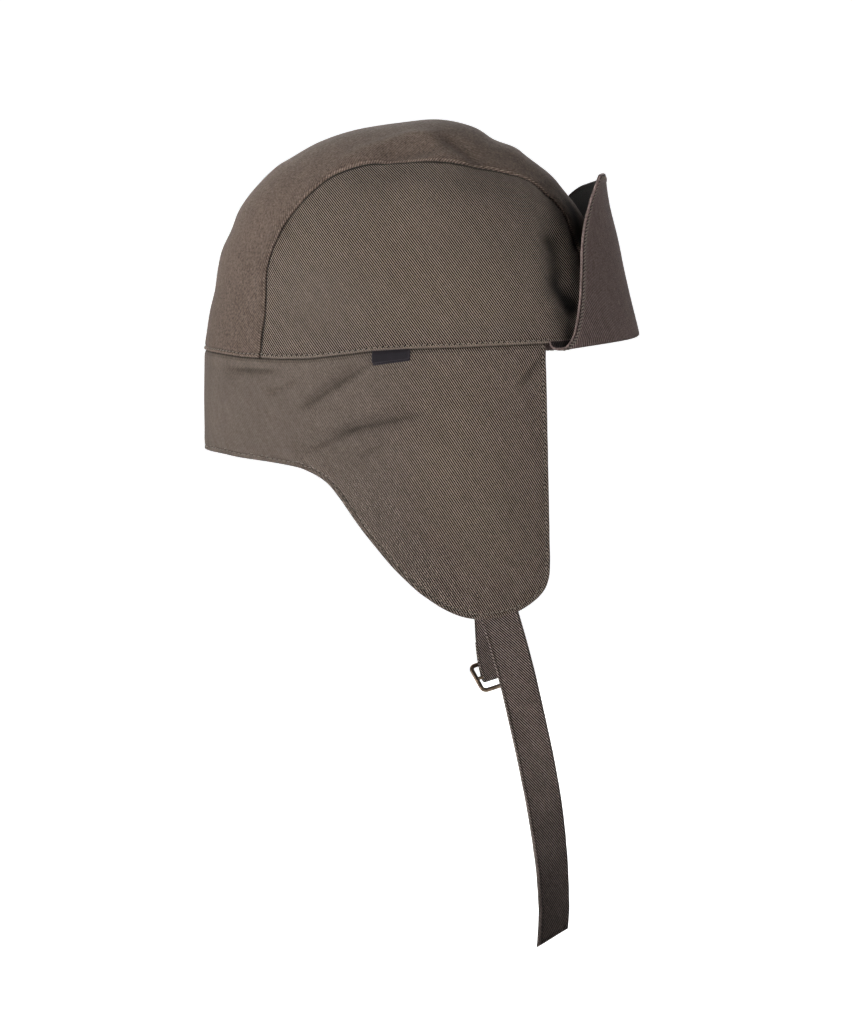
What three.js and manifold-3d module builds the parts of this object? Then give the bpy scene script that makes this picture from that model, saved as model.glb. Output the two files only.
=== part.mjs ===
import * as THREE from 'three';
import Module from 'manifold-3d';
import { mergeVertices } from 'three/addons/utils/BufferGeometryUtils.js';

// Trooper hat of cotton twill, in millimetres.
// The front is +X, the wearer's left is +Y and up is +Z.
// The origin is the middle of the head opening, at the seam between the crown and the ear band.

// Sizes of the head opening and the crown
const HEAD_HALF_WIDTH = 79;
const SECTION_POWER = 2.5;
const BACK_REACH = 107.9;
const FRONT_REACH = 102.8;

// Cloth walls and the clearance between sewn pieces
const CROWN_WALL = 1.8;
const BAND_WALL = 2.0;
const FLAP_WALL = 2.2;
const STRAP_WALL = 1.8;
const LABEL_WALL = 0.8;
const CLEARANCE = 0.3;

// Ear band
const BAND_FRONT_X = 58.8;
const BAND_BACK_BULGE = 0.6;
const EAR_DRAFT = 0.11;
const EAR_DEPTH = 129;

// Turned-up front flap
const FLAP_TUCK = 0.4;
const FLAP_FOLD_RADIUS = 2.25;
const FLAP_ROOT_X = 59.8;
const FLAP_END_X = 66.0;

// Straps
const STRAP_WIDTH = 18;
const LONG_STRAP_END_SLANT = 4;
const LOOP_BAR_CLEARANCE = 0.35;
const LOOP_TAIL = 17;

// Slide buckle
const BUCKLE_WIDTH = 23;
const BUCKLE_HEIGHT = 17;
const BUCKLE_CORNER = 2.6;
const BUCKLE_WIRE = 2.0;
const BUCKLE_BAR_WIRE = 1.8;
const BUCKLE_TILT = 44;

// Label
const LABEL_WIDTH = 17.6;
const LABEL_HEIGHT = 5.5;
const LABEL_MIDDLE_X = -14.9;

// Outline of the crown from the side, along its middle, from the nape up and over to the forehead
const crownProfile = [
  { x: -107.9, z: -9.0 },
  { x: -107.9, z: 0.0 },
  { x: -106.8, z: 9.8 },
  { x: -105.2, z: 19.7 },
  { x: -102.8, z: 29.6 },
  { x: -101.4, z: 39.4 },
  { x: -99.2, z: 49.2 },
  { x: -94.6, z: 59.0 },
  { x: -90.7, z: 68.8 },
  { x: -83.7, z: 78.7 },
  { x: -71.8, z: 90.5 },
  { x: -65.4, z: 94.4 },
  { x: -51.5, z: 102.2 },
  { x: -34.3, z: 108.1 },
  { x: -10.1, z: 112.1 },
  { x: 8.6, z: 113.5 },
  { x: 24.5, z: 110.1 },
  { x: 35.8, z: 104.2 },
  { x: 46.6, z: 98.4 },
  { x: 55.6, z: 92.4 },
  { x: 64.1, z: 85.6 },
  { x: 69.9, z: 78.7 },
  { x: 76.0, z: 71.0 },
  { x: 81.5, z: 62.1 },
  { x: 86.5, z: 51.2 },
  { x: 91.5, z: 39.3 },
  { x: 95.8, z: 27.9 },
  { x: 99.4, z: 17.0 },
  { x: 101.7, z: 8.0 },
  { x: 102.8, z: 0.0 },
  { x: 102.8, z: -9.0 },
];

// Seam between the middle strip of the crown and each side panel, from the nape to the forehead
const crownSeam = [
  { x: -77.9, z: -4.1 },
  { x: -77.2, z: 6.0 },
  { x: -75.5, z: 17.0 },
  { x: -75.2, z: 26.0 },
  { x: -74.8, z: 37.5 },
  { x: -72.5, z: 46.9 },
  { x: -65.9, z: 61.7 },
  { x: -59.7, z: 69.0 },
  { x: -53.0, z: 76.0 },
  { x: -44.0, z: 83.2 },
  { x: -35.0, z: 87.0 },
  { x: -26.4, z: 89.3 },
  { x: -17.3, z: 90.2 },
  { x: -4.0, z: 90.7 },
  { x: 8.9, z: 90.5 },
  { x: 22.7, z: 87.9 },
  { x: 37.5, z: 84.6 },
  { x: 51.7, z: 80.8 },
  { x: 61.8, z: 72.6 },
  { x: 68.5, z: 66.0 },
  { x: 72.2, z: 55.8 },
  { x: 75.0, z: 40.0 },
  { x: 76.3, z: 22.0 },
  { x: 76.8, z: 4.3 },
];

// Height of the seam round the head opening, by its distance along X
const openingHeight = [
  { x: -107.9, z: 0.1 },
  { x: -104.0, z: -0.9 },
  { x: -96.6, z: -2.1 },
  { x: -87.8, z: -3.4 },
  { x: -77.7, z: -4.1 },
  { x: -67.9, z: -4.5 },
  { x: -54.0, z: -4.3 },
  { x: -41.6, z: -3.0 },
  { x: -32.1, z: -1.9 },
  { x: -23.6, z: -0.8 },
  { x: -4.3, z: 0.3 },
  { x: 17.3, z: 0.9 },
  { x: 36.1, z: 1.8 },
  { x: 58.5, z: 2.8 },
  { x: 66.0, z: 3.3 },
  { x: 80.0, z: 4.8 },
  { x: 94.0, z: 7.0 },
  { x: 102.8, z: 8.7 },
];

// Lower edge of one half of the ear band, from the nape to the front of the ear flap
const bandEdge = [
  { x: -107.9, z: -49.2 },
  { x: -105.5, z: -49.4 },
  { x: -96.9, z: -50.4 },
  { x: -88.5, z: -51.8 },
  { x: -76.5, z: -53.2 },
  { x: -64.8, z: -54.9 },
  { x: -57.1, z: -56.7 },
  { x: -50.4, z: -59.8 },
  { x: -45.1, z: -63.5 },
  { x: -39.0, z: -71.0 },
  { x: -35.7, z: -75.8 },
  { x: -29.0, z: -85.3 },
  { x: -21.5, z: -94.8 },
  { x: -13.4, z: -104.3 },
  { x: -3.5, z: -113.9 },
  { x: 2.7, z: -118.7 },
  { x: 10.3, z: -123.6 },
  { x: 19.4, z: -127.4 },
  { x: 27.5, z: -128.5 },
  { x: 37.0, z: -127.6 },
  { x: 46.1, z: -124.9 },
  { x: 55.2, z: -118.8 },
  { x: 59.1, z: -114.1 },
  { x: 61.0, z: -108.4 },
  { x: 61.4, z: -101.0 },
];

// Soft folds pressed into each half of the ear band
const bandFolds = [
  { fromX: -90.9, fromZ: -9.2, toX: -69.4, toZ: -10.1, depth: 0.7, width: 5 },
  { fromX: -72.4, fromZ: -19.6, toX: -57.8, toZ: -13.8, depth: 0.5, width: 5 },
  { fromX: -55.5, fromZ: -26.6, toX: -27.0, toZ: -8.1, depth: 1.5, width: 6 },
  { fromX: -46.5, fromZ: -45.0, toX: -4.4, toZ: -31.2, depth: 1.9, width: 6 },
  { fromX: -30.8, fromZ: -50.6, toX: -17.1, toZ: -43.9, depth: 0.7, width: 5 },
  { fromX: 45.7, fromZ: -16.6, toX: 56.6, toZ: -3.0, depth: 0.8, width: 6 },
];

// Front flap, by level from the fold at its foot to its top edge.
// frontX and frontZ lie on its middle, endX, endY and endZ on its end, and bow is how it rounds between.
// lean draws the wearer's left end back a little further than the right one.
const flapLevels = [
  { frontX: 107.3, frontZ: 6.4, endX: 68.6, endY: 71.2, endZ: -0.6, bow: 2.5, lean: 0 },
  { frontX: 106.9, frontZ: 10.5, endX: 72.6, endY: 69.4, endZ: 8.5, bow: 2.4, lean: 0 },
  { frontX: 103.6, frontZ: 24.0, endX: 75.0, endY: 67.6, endZ: 23.0, bow: 2.3, lean: 0 },
  { frontX: 100.1, frontZ: 39.0, endX: 75.8, endY: 66.6, endZ: 38.5, bow: 2.2, lean: 0.8 },
  { frontX: 96.9, frontZ: 54.0, endX: 76.6, endY: 66.0, endZ: 54.0, bow: 2.1, lean: 2.0 },
  { frontX: 92.8, frontZ: 69.0, endX: 80.0, endY: 65.4, endZ: 69.0, bow: 2.0, lean: 3.8 },
  { frontX: 90.2, frontZ: 82.2, endX: 85.0, endY: 64.8, endZ: 82.6, bow: 2.0, lean: 5.8 },
];

// Free strap on the wearer's right: its middle line, and how far it turns about that line, in degrees
const longStrapLine = [
  { x: 37.4, y: -67.2, z: -127.6, turn: 4 },
  { x: 40.9, y: -67.4, z: -139.7, turn: 5 },
  { x: 45.6, y: -67.8, z: -157.4, turn: 6 },
  { x: 50.0, y: -68.2, z: -176.4, turn: 7 },
  { x: 54.2, y: -68.7, z: -195.6, turn: 9 },
  { x: 57.8, y: -69.1, z: -214.6, turn: 12 },
  { x: 60.4, y: -69.5, z: -232.2, turn: 18 },
  { x: 62.0, y: -69.9, z: -247.0, turn: 25 },
  { x: 62.8, y: -70.2, z: -260.5, turn: 31 },
  { x: 62.9, y: -70.4, z: -271.0, turn: 34 },
  { x: 62.2, y: -70.5, z: -281.2, turn: 37 },
];

// Short strap on the wearer's left: its middle line from the ear flap down to the buckle's bar
const shortStrapLine = [
  { x: 36.0, y: 67.2, z: -127.7 },
  { x: 36.8, y: 67.6, z: -142.8 },
  { x: 37.6, y: 68.2, z: -153.9 },
  { x: 38.8, y: 68.8, z: -162.6 },
  { x: 40.5, y: 69.2, z: -169.4 },
];

// Smooth curve through the rows of a table, as a list of close points
function closePoints(rows, count) {
  const points = rows.map((row) => new THREE.Vector3(row.x, row.y ?? 0, row.z));
  return new THREE.CatmullRomCurve3(points, false, 'centripetal').getPoints(count);
}

// Value between the rows of an ordered list of key and value pairs
function between(pairs, key) {
  if (key <= pairs[0][0]) return pairs[0][1];
  const last = pairs[pairs.length - 1];
  if (key >= last[0]) return last[1];
  let low = 0;
  let high = pairs.length - 1;
  while (high - low > 1) {
    const middle = (low + high) >> 1;
    if (pairs[middle][0] <= key) low = middle;
    else high = middle;
  }
  const share = (key - pairs[low][0]) / (pairs[high][0] - pairs[low][0]);
  return pairs[low][1] + share * (pairs[high][1] - pairs[low][1]);
}

// Closed wall of cloth between an outer face and a face one wall further in.
// Outer and inner are grids of points, by column and then by row.
function wallBetween(outer, inner) {
  const columns = outer.length;
  const rows = outer[0].length;
  const vertices = [];
  for (const grid of [outer, inner]) {
    for (const column of grid) {
      for (const p of column) vertices.push(p.x, p.y, p.z);
    }
  }
  const at = (side, c, r) => side * columns * rows + c * rows + r;
  const triangles = [];
  const quad = (a, b, c, d) => triangles.push(a, b, c, a, c, d);
  for (let c = 0; c < columns - 1; c += 1) {
    for (let r = 0; r < rows - 1; r += 1) {
      quad(at(0, c, r), at(0, c + 1, r), at(0, c + 1, r + 1), at(0, c, r + 1));
      quad(at(1, c, r), at(1, c, r + 1), at(1, c + 1, r + 1), at(1, c + 1, r));
    }
  }
  for (let c = 0; c < columns - 1; c += 1) {
    quad(at(0, c, 0), at(1, c, 0), at(1, c + 1, 0), at(0, c + 1, 0));
    quad(at(0, c, rows - 1), at(0, c + 1, rows - 1), at(1, c + 1, rows - 1), at(1, c, rows - 1));
  }
  for (let r = 0; r < rows - 1; r += 1) {
    quad(at(0, 0, r), at(0, 0, r + 1), at(1, 0, r + 1), at(1, 0, r));
    quad(at(0, columns - 1, r), at(1, columns - 1, r), at(1, columns - 1, r + 1),
      at(0, columns - 1, r + 1));
  }
  const geometry = new THREE.BufferGeometry();
  geometry.setAttribute('position', new THREE.Float32BufferAttribute(vertices, 3));
  geometry.setIndex(triangles);
  return facesOut(geometry);
}

// Turns the triangles round where the body's volume comes out negative
function facesOut(geometry) {
  const p = geometry.attributes.position;
  const index = geometry.index.array;
  const a = new THREE.Vector3();
  const b = new THREE.Vector3();
  const c = new THREE.Vector3();
  let volume = 0;
  for (let i = 0; i < index.length; i += 3) {
    a.fromBufferAttribute(p, index[i]);
    b.fromBufferAttribute(p, index[i + 1]);
    c.fromBufferAttribute(p, index[i + 2]);
    volume += a.dot(b.cross(c));
  }
  if (volume < 0) {
    for (let i = 0; i < index.length; i += 3) {
      const kept = index[i + 1];
      index[i + 1] = index[i + 2];
      index[i + 2] = kept;
    }
  }
  geometry.computeVertexNormals();
  return geometry;
}

// Steps from 0 to 1
function steps(count) {
  return Array.from({ length: count + 1 }, (_, i) => i / count);
}

// Wall of cloth from a surface of two shares, each from 0 to 1, with the wall behind it
function clothWall(surface, shareAcross, shareUp, wall) {
  const nudge = 1e-3;
  const outer = [];
  const inner = [];
  for (const u of shareAcross) {
    const outerColumn = [];
    const innerColumn = [];
    for (const v of shareUp) {
      const p = surface(u, v);
      const alongU = surface(Math.min(1, u + nudge), v).sub(surface(Math.max(0, u - nudge), v));
      const alongV = surface(u, Math.min(1, v + nudge)).sub(surface(u, Math.max(0, v - nudge)));
      const normal = alongU.cross(alongV).normalize();
      outerColumn.push(p);
      innerColumn.push(p.clone().addScaledVector(normal, -wall));
    }
    outer.push(outerColumn);
    inner.push(innerColumn);
  }
  return wallBetween(outer, inner);
}

// Crown surface: sections from side to side are rounded boxes, scaled from the outline of the middle
function angleFromNape(x, z) {
  const angle = Math.atan2(z, -x);
  return angle < -Math.PI / 2 ? angle + 2 * Math.PI : angle;
}

const profileRadius = closePoints(crownProfile, 900)
  .map((p) => [angleFromNape(p.x, p.z), Math.hypot(p.x, p.z)]);
const openingPairs = openingHeight.map((row) => [row.x, row.z]);

function sectionShare(y) {
  const q = Math.min(1, Math.abs(y) / HEAD_HALF_WIDTH);
  return (1 - q ** SECTION_POWER) ** (1 / SECTION_POWER);
}

function crownLevel(x, y, z) {
  const reach = between(profileRadius, angleFromNape(x, z));
  const q = Math.hypot(x, z) / reach;
  return q ** SECTION_POWER + (Math.abs(y) / HEAD_HALF_WIDTH) ** SECTION_POWER;
}

function crownNormal(p) {
  const d = 0.4;
  return new THREE.Vector3(
    crownLevel(p.x + d, p.y, p.z) - crownLevel(p.x - d, p.y, p.z),
    crownLevel(p.x, p.y + d, p.z) - crownLevel(p.x, p.y - d, p.z),
    crownLevel(p.x, p.y, p.z + d) - crownLevel(p.x, p.y, p.z - d),
  ).normalize();
}

// Half width of the crown at a point seen from the side
function crownHalfWidth(x, z) {
  const q = Math.min(1, crownLevel(x, 0, z));
  return HEAD_HALF_WIDTH * (1 - q) ** (1 / SECTION_POWER);
}

function crownPoint(angle, y) {
  const r = between(profileRadius, angle) * sectionShare(y);
  return new THREE.Vector3(-r * Math.cos(angle), y, r * Math.sin(angle));
}

function openingZ(x) {
  return between(openingPairs, x);
}

// The crown seam by its share of length, moved sideways by half the clearance
const seamPoints = closePoints(crownSeam, 900);
const seamLengths = [0];
for (let i = 1; i < seamPoints.length; i += 1) {
  seamLengths.push(seamLengths[i - 1] + seamPoints[i].distanceTo(seamPoints[i - 1]));
}
const seamTotal = seamLengths[seamLengths.length - 1];
const seamX = seamPoints.map((p, i) => [seamLengths[i] / seamTotal, p.x]);
const seamZ = seamPoints.map((p, i) => [seamLengths[i] / seamTotal, p.z]);

function seamPoint(share, outward) {
  const x = between(seamX, share);
  const z = between(seamZ, share);
  const d = 0.004;
  const dx = between(seamX, share + d) - between(seamX, share - d);
  const dz = between(seamZ, share + d) - between(seamZ, share - d);
  const length = Math.hypot(dx, dz);
  return { x: x - (outward * dz) / length, z: z + (outward * dx) / length };
}

// Shares of the seam where the side panel's left, top and right sides meet
const SEAM_LEFT = 0.2;
const SEAM_RIGHT = 0.82;
const LEFT_STEPS = 8;
const TOP_STEPS = 24;

function onBase(x) {
  return { x, z: openingZ(x) + CLEARANCE / 2 };
}

// Side panel seen from the side: a patch between the opening below and the seam on its other sides
function sidePanelPoint(u, v) {
  const inset = -CLEARANCE / 2;
  const bottomLeft = onBase(seamPoint(0, inset).x);
  const bottomRight = onBase(seamPoint(1, inset).x);
  const bottom = onBase(bottomLeft.x + (bottomRight.x - bottomLeft.x) * u);
  const top = seamPoint(SEAM_LEFT + (SEAM_RIGHT - SEAM_LEFT) * u, inset);
  const left = v === 0 ? bottomLeft : seamPoint(SEAM_LEFT * v, inset);
  const right = v === 0 ? bottomRight : seamPoint(1 - (1 - SEAM_RIGHT) * v, inset);
  const topLeft = seamPoint(SEAM_LEFT, inset);
  const topRight = seamPoint(SEAM_RIGHT, inset);
  const blend = (key) => (1 - v) * bottom[key] + v * top[key]
    + (1 - u) * left[key] + u * right[key]
    - (1 - u) * (1 - v) * bottomLeft[key] - u * (1 - v) * bottomRight[key]
    - (1 - u) * v * topLeft[key] - u * v * topRight[key];
  return { x: blend('x'), z: blend('z') };
}

function sidePanel(side) {
  const outer = [];
  const inner = [];
  for (const u of steps(TOP_STEPS)) {
    const outerColumn = [];
    const innerColumn = [];
    for (const v of steps(LEFT_STEPS)) {
      const flat = sidePanelPoint(u, v);
      const p = new THREE.Vector3(flat.x, side * crownHalfWidth(flat.x, flat.z), flat.z);
      outerColumn.push(p);
      innerColumn.push(p.clone().addScaledVector(crownNormal(p), -CROWN_WALL));
    }
    outer.push(outerColumn);
    inner.push(innerColumn);
  }
  return wallBetween(outer, inner);
}

// Angle at which the crown meets the opening, a given distance from its middle
function baseAngle(y, front) {
  let low = front ? Math.PI - 0.3 : -0.09;
  let high = front ? Math.PI + 0.09 : 0.3;
  for (let i = 0; i < 40; i += 1) {
    const middle = (low + high) / 2;
    const p = crownPoint(middle, y);
    const above = p.z > openingZ(p.x) + CLEARANCE / 2;
    if (above === front) low = middle;
    else high = middle;
  }
  return (low + high) / 2;
}

// Middle strip of the crown, from the nape over the top to the forehead
function centrePanel() {
  const shares = [];
  for (const v of steps(LEFT_STEPS)) shares.push(SEAM_LEFT * v);
  for (const u of steps(TOP_STEPS).slice(1)) shares.push(SEAM_LEFT + (SEAM_RIGHT - SEAM_LEFT) * u);
  for (const v of steps(LEFT_STEPS).slice(1)) shares.push(SEAM_RIGHT + (1 - SEAM_RIGHT) * v);
  const edges = shares.map((share) => {
    const flat = seamPoint(share, CLEARANCE / 2);
    return { angle: angleFromNape(flat.x, flat.z), y: crownHalfWidth(flat.x, flat.z) };
  });
  const first = edges[0].angle;
  const last = edges[edges.length - 1].angle;
  const backMiddle = baseAngle(0, false);
  const frontMiddle = baseAngle(0, true);
  const outer = [];
  const inner = [];
  for (const across of steps(12)) {
    const t = 2 * across - 1;
    const backBase = baseAngle(t * edges[0].y, false);
    const frontBase = baseAngle(t * edges[edges.length - 1].y, true);
    const outerColumn = [];
    const innerColumn = [];
    edges.forEach((edge, i) => {
      const run = (edge.angle - first) / (last - first);
      const middle = backMiddle + (frontMiddle - backMiddle) * run;
      let angle = middle + (edge.angle - middle) * t * t;
      angle += (backBase - (backMiddle + (first - backMiddle) * t * t)) * (1 - run) ** 4;
      angle += (frontBase - (frontMiddle + (last - frontMiddle) * t * t)) * run ** 4;
      const p = crownPoint(angle, t * edge.y);
      outerColumn.push(p);
      innerColumn.push(p.clone().addScaledVector(crownNormal(p), -CROWN_WALL));
    });
    outer.push(outerColumn);
    inner.push(innerColumn);
  }
  return wallBetween(outer, inner);
}

// Plan of the head opening, by its length from the nape along one side
const ovalPoints = [];
for (let i = 0; i <= 1600; i += 1) {
  const angle = (Math.PI * i) / 1600;
  const reach = angle < Math.PI / 2 ? BACK_REACH : FRONT_REACH;
  const power = 2 / SECTION_POWER;
  ovalPoints.push({
    x: -reach * Math.sign(Math.cos(angle)) * Math.abs(Math.cos(angle)) ** power,
    y: HEAD_HALF_WIDTH * Math.sin(angle) ** power,
  });
}
const ovalLengths = [0];
for (let i = 1; i < ovalPoints.length; i += 1) {
  const a = ovalPoints[i - 1];
  const b = ovalPoints[i];
  ovalLengths.push(ovalLengths[i - 1] + Math.hypot(b.x - a.x, b.y - a.y));
}
const ovalX = ovalPoints.map((p, i) => [ovalLengths[i], p.x]);
const ovalY = ovalPoints.map((p, i) => [ovalLengths[i], p.y]);
const ovalLengthAtX = ovalPoints.map((p, i) => [p.x, ovalLengths[i]]);

// Depth of the folds at a point seen from the side
function foldDepth(folds, x, z) {
  let depth = 0;
  for (const fold of folds) {
    const runX = fold.toX - fold.fromX;
    const runZ = fold.toZ - fold.fromZ;
    const length = Math.hypot(runX, runZ);
    const along = ((x - fold.fromX) * runX + (z - fold.fromZ) * runZ) / (length * length);
    const off = ((x - fold.fromX) * runZ - (z - fold.fromZ) * runX) / length;
    const fade = Math.exp(-(((along - 0.5) / 0.55) ** 4));
    depth += fold.depth * fade * Math.exp(-((off / fold.width) ** 2));
  }
  return depth;
}

// Point of the ear band at a length round the opening and a height
function bandPoint(length, z, side, lift) {
  const d = 0.5;
  const x = between(ovalX, length);
  const y = between(ovalY, length);
  const dx = between(ovalX, length + d) - between(ovalX, Math.max(0, length - d));
  const dy = between(ovalY, length + d) - between(ovalY, Math.max(0, length - d));
  const turn = Math.hypot(dx, dy);
  const down = Math.max(0, -z);
  const back = Math.max(0, 1 - length / 70);
  let out = lift + BAND_BACK_BULGE * back * Math.sin(Math.PI * Math.min(1, down / 50));
  out -= foldDepth(bandFolds, x, z) * Math.min(1, down / 4);
  const draft = 1 - EAR_DRAFT * Math.min(1, down / EAR_DEPTH) ** 1.6 * Math.min(1, length / 60);
  return new THREE.Vector3(x - (out * dy) / turn, side * (y + (out * dx) / turn) * draft, z);
}

// Lower edge of the band by its share of length, as length round the opening and height
const edgeRows = bandEdge.map((row) => ({ x: between(ovalLengthAtX, row.x), z: row.z }));
edgeRows[0].x = 0;
const edgePoints = closePoints(edgeRows, 900);
const edgeLengths = [0];
for (let i = 1; i < edgePoints.length; i += 1) {
  edgeLengths.push(edgeLengths[i - 1] + edgePoints[i].distanceTo(edgePoints[i - 1]));
}
const edgeTotal = edgeLengths[edgeLengths.length - 1];
const edgeRound = edgePoints.map((p, i) => [edgeLengths[i] / edgeTotal, p.x]);
const edgeHeight = edgePoints.map((p, i) => [edgeLengths[i] / edgeTotal, p.z]);

function earBand() {
  const frontLength = between(ovalLengthAtX, BAND_FRONT_X);
  const surface = (u, v) => {
    const share = Math.abs(2 * u - 1);
    const side = u < 0.5 ? -1 : 1;
    const topLength = frontLength * share;
    const topZ = openingZ(between(ovalX, topLength)) - CLEARANCE / 2;
    const length = topLength + (between(edgeRound, share) - topLength) * v;
    const z = topZ + (between(edgeHeight, share) - topZ) * v;
    return bandPoint(length, z, side, 0);
  };
  return clothWall(surface, steps(64), steps(12), BAND_WALL);
}

// Lower edge height of the band at a distance along X, under the ear flap
function bandEdgeZ(x) {
  const pairs = edgePoints
    .filter((p) => p.z < -100 && between(ovalX, p.x) < 60)
    .map((p) => [between(ovalX, p.x), p.z]);
  return between(pairs, x);
}

// Front flap: sewn to the crown at the opening, folded at its foot and turned up in front of the crown
function flapLevel(level, key) {
  const place = level * (flapLevels.length - 1);
  const i = Math.min(flapLevels.length - 2, Math.floor(place));
  const share = place - i;
  const rows = [i - 1, i, i + 1, i + 2]
    .map((k) => flapLevels[Math.max(0, Math.min(flapLevels.length - 1, k))][key]);
  const [a, b, c, d] = rows;
  return b + 0.5 * share * (c - a + share * (2 * a - 5 * b + 4 * c - d + share * (3 * (b - c) + d - a)));
}

function flapTableFace(t, level) {
  const bow = Math.abs(t) ** flapLevel(level, 'bow');
  const frontX = flapLevel(level, 'frontX');
  const frontZ = flapLevel(level, 'frontZ');
  const lean = t > 0 ? flapLevel(level, 'lean') * t * t : 0;
  return new THREE.Vector3(
    frontX - (frontX - flapLevel(level, 'endX')) * bow - lean,
    flapLevel(level, 'endY') * t,
    frontZ + (flapLevel(level, 'endZ') - frontZ) * Math.abs(t) ** 1.7,
  );
}

// Point outside the opening's oval, by share from the forehead to one end
function besideOval(t, endX, away) {
  const front = ovalLengths[ovalLengths.length - 1];
  const end = between(ovalLengthAtX, endX);
  const length = front + (end - front) * Math.abs(t);
  const d = 0.5;
  const dx = between(ovalX, length + d) - between(ovalX, length - d);
  const dy = between(ovalY, length + d) - between(ovalY, length - d);
  const turn = Math.hypot(dx, dy);
  const side = t < 0 ? -1 : 1;
  const outX = (-away * dy) / turn;
  const outY = (away * dx) / turn;
  return new THREE.Vector3(between(ovalX, length) + outX, side * (between(ovalY, length) + outY), 0);
}

// Outer face of the turned-up part: the table's shape, drawn in to the opening at the fold
function flapFace(t, level) {
  const face = flapTableFace(t, level);
  const foot = besideOval(t, FLAP_END_X, FLAP_TUCK + 2 * FLAP_FOLD_RADIUS);
  const table = flapTableFace(t, 0);
  const pull = (1 - level) ** 4;
  face.x += (foot.x - table.x) * pull;
  face.y += (foot.y - table.y) * pull;
  return face;
}

// Outer line of the flap at one share across, from the seam down, round the fold and up to the top
function flapLine(u) {
  const t = 2 * u - 1;
  const foot = flapFace(t, 0);
  const root = besideOval(t, FLAP_ROOT_X, FLAP_TUCK);
  const rootRise = openingZ(root.x) + 1.1 - foot.z;
  const line = [];
  for (const angle of [-90, -60, -30, 0, 30, 60]) {
    const a = THREE.MathUtils.degToRad(angle);
    const p = root.clone().lerp(foot, (1 + Math.sin(a)) / 2);
    const rise = angle < 0 ? rootRise : FLAP_FOLD_RADIUS;
    p.z = foot.z + rise * (1 - Math.cos(a));
    line.push(p);
  }
  const foldTop = FLAP_FOLD_RADIUS / (flapLevel(1, 'frontZ') - flapLevel(0, 'frontZ'));
  for (const share of steps(14)) {
    const level = foldTop + (1 - foldTop) * share;
    line.push(flapFace(t, level));
  }
  return line;
}

function frontFlap() {
  const outer = [];
  const inner = [];
  const shares = steps(26);
  const lines = shares.map((u) => flapLine(u));
  lines.forEach((line, c) => {
    const before = lines[Math.max(0, c - 1)];
    const after = lines[Math.min(lines.length - 1, c + 1)];
    const innerColumn = line.map((p, r) => {
      const across = after[r].clone().sub(before[r]);
      const up = line[Math.min(line.length - 1, r + 1)].clone().sub(line[Math.max(0, r - 1)]);
      return p.clone().addScaledVector(across.cross(up).normalize(), -FLAP_WALL);
    });
    outer.push(line);
    inner.push(innerColumn);
  });
  return wallBetween(outer, inner);
}

// Frame of a strap at a length along its middle line: the point, and the directions along, across and out
function strapFrame(rows, facing) {
  const points = rows.map((row) => new THREE.Vector3(row.x, row.y, row.z));
  const curve = new THREE.CatmullRomCurve3(points, false, 'centripetal');
  const total = curve.getLength();
  const turns = rows.map((row, i) => [i / (rows.length - 1), row.turn ?? 0]);
  const frameAt = (length) => {
    const share = Math.max(0, Math.min(1, length / total));
    const middle = curve.getPointAt(share);
    const along = curve.getTangentAt(share);
    middle.addScaledVector(along, length - share * total);
    const level = new THREE.Vector3(1, 0, 0).addScaledVector(along, -along.x).normalize();
    const out = level.clone().cross(along).normalize().multiplyScalar(-facing);
    const turn = THREE.MathUtils.degToRad(between(turns, share));
    const across = level.clone().multiplyScalar(Math.cos(turn)).addScaledVector(out, -Math.sin(turn));
    const face = across.clone().cross(along).normalize().multiplyScalar(-facing);
    return { middle, along, across, face };
  };
  return { total, frameAt };
}

// Length along the strap at which a line across it meets the ear flap's lower edge
function strapStart(strap, share) {
  let length = 0;
  for (let i = 0; i < 8; i += 1) {
    const { middle, across } = strap.frameAt(length);
    const x = middle.x + across.x * STRAP_WIDTH * share;
    const z = middle.z + across.z * STRAP_WIDTH * share;
    length += z - (bandEdgeZ(x) - 0.45);
  }
  return length;
}

function longStrap() {
  const strap = strapFrame(longStrapLine, 1);
  const outer = [];
  const inner = [];
  for (const u of steps(4)) {
    const share = u - 0.5;
    const start = strapStart(strap, share);
    const end = strap.total - LONG_STRAP_END_SLANT * share * 2;
    const outerColumn = [];
    const innerColumn = [];
    for (const v of steps(40)) {
      const { middle, across, face } = strap.frameAt(start + (end - start) * v);
      const p = middle.clone().addScaledVector(across, STRAP_WIDTH * share);
      outerColumn.push(p.clone().addScaledVector(face, STRAP_WALL / 2));
      innerColumn.push(p.clone().addScaledVector(face, -STRAP_WALL / 2));
    }
    outer.push(outerColumn);
    inner.push(innerColumn);
  }
  return wallBetween(outer, inner);
}

// Short strap: down to the buckle's bar, round it and back up behind itself
const shortStrapGuide = strapFrame(shortStrapLine, -1);
const loopRadius = BUCKLE_BAR_WIRE / 2 + LOOP_BAR_CLEARANCE + STRAP_WALL / 2;
const barFrame = shortStrapGuide.frameAt(shortStrapGuide.total);
const barMiddle = barFrame.middle.clone().addScaledVector(barFrame.face, loopRadius);

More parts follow.
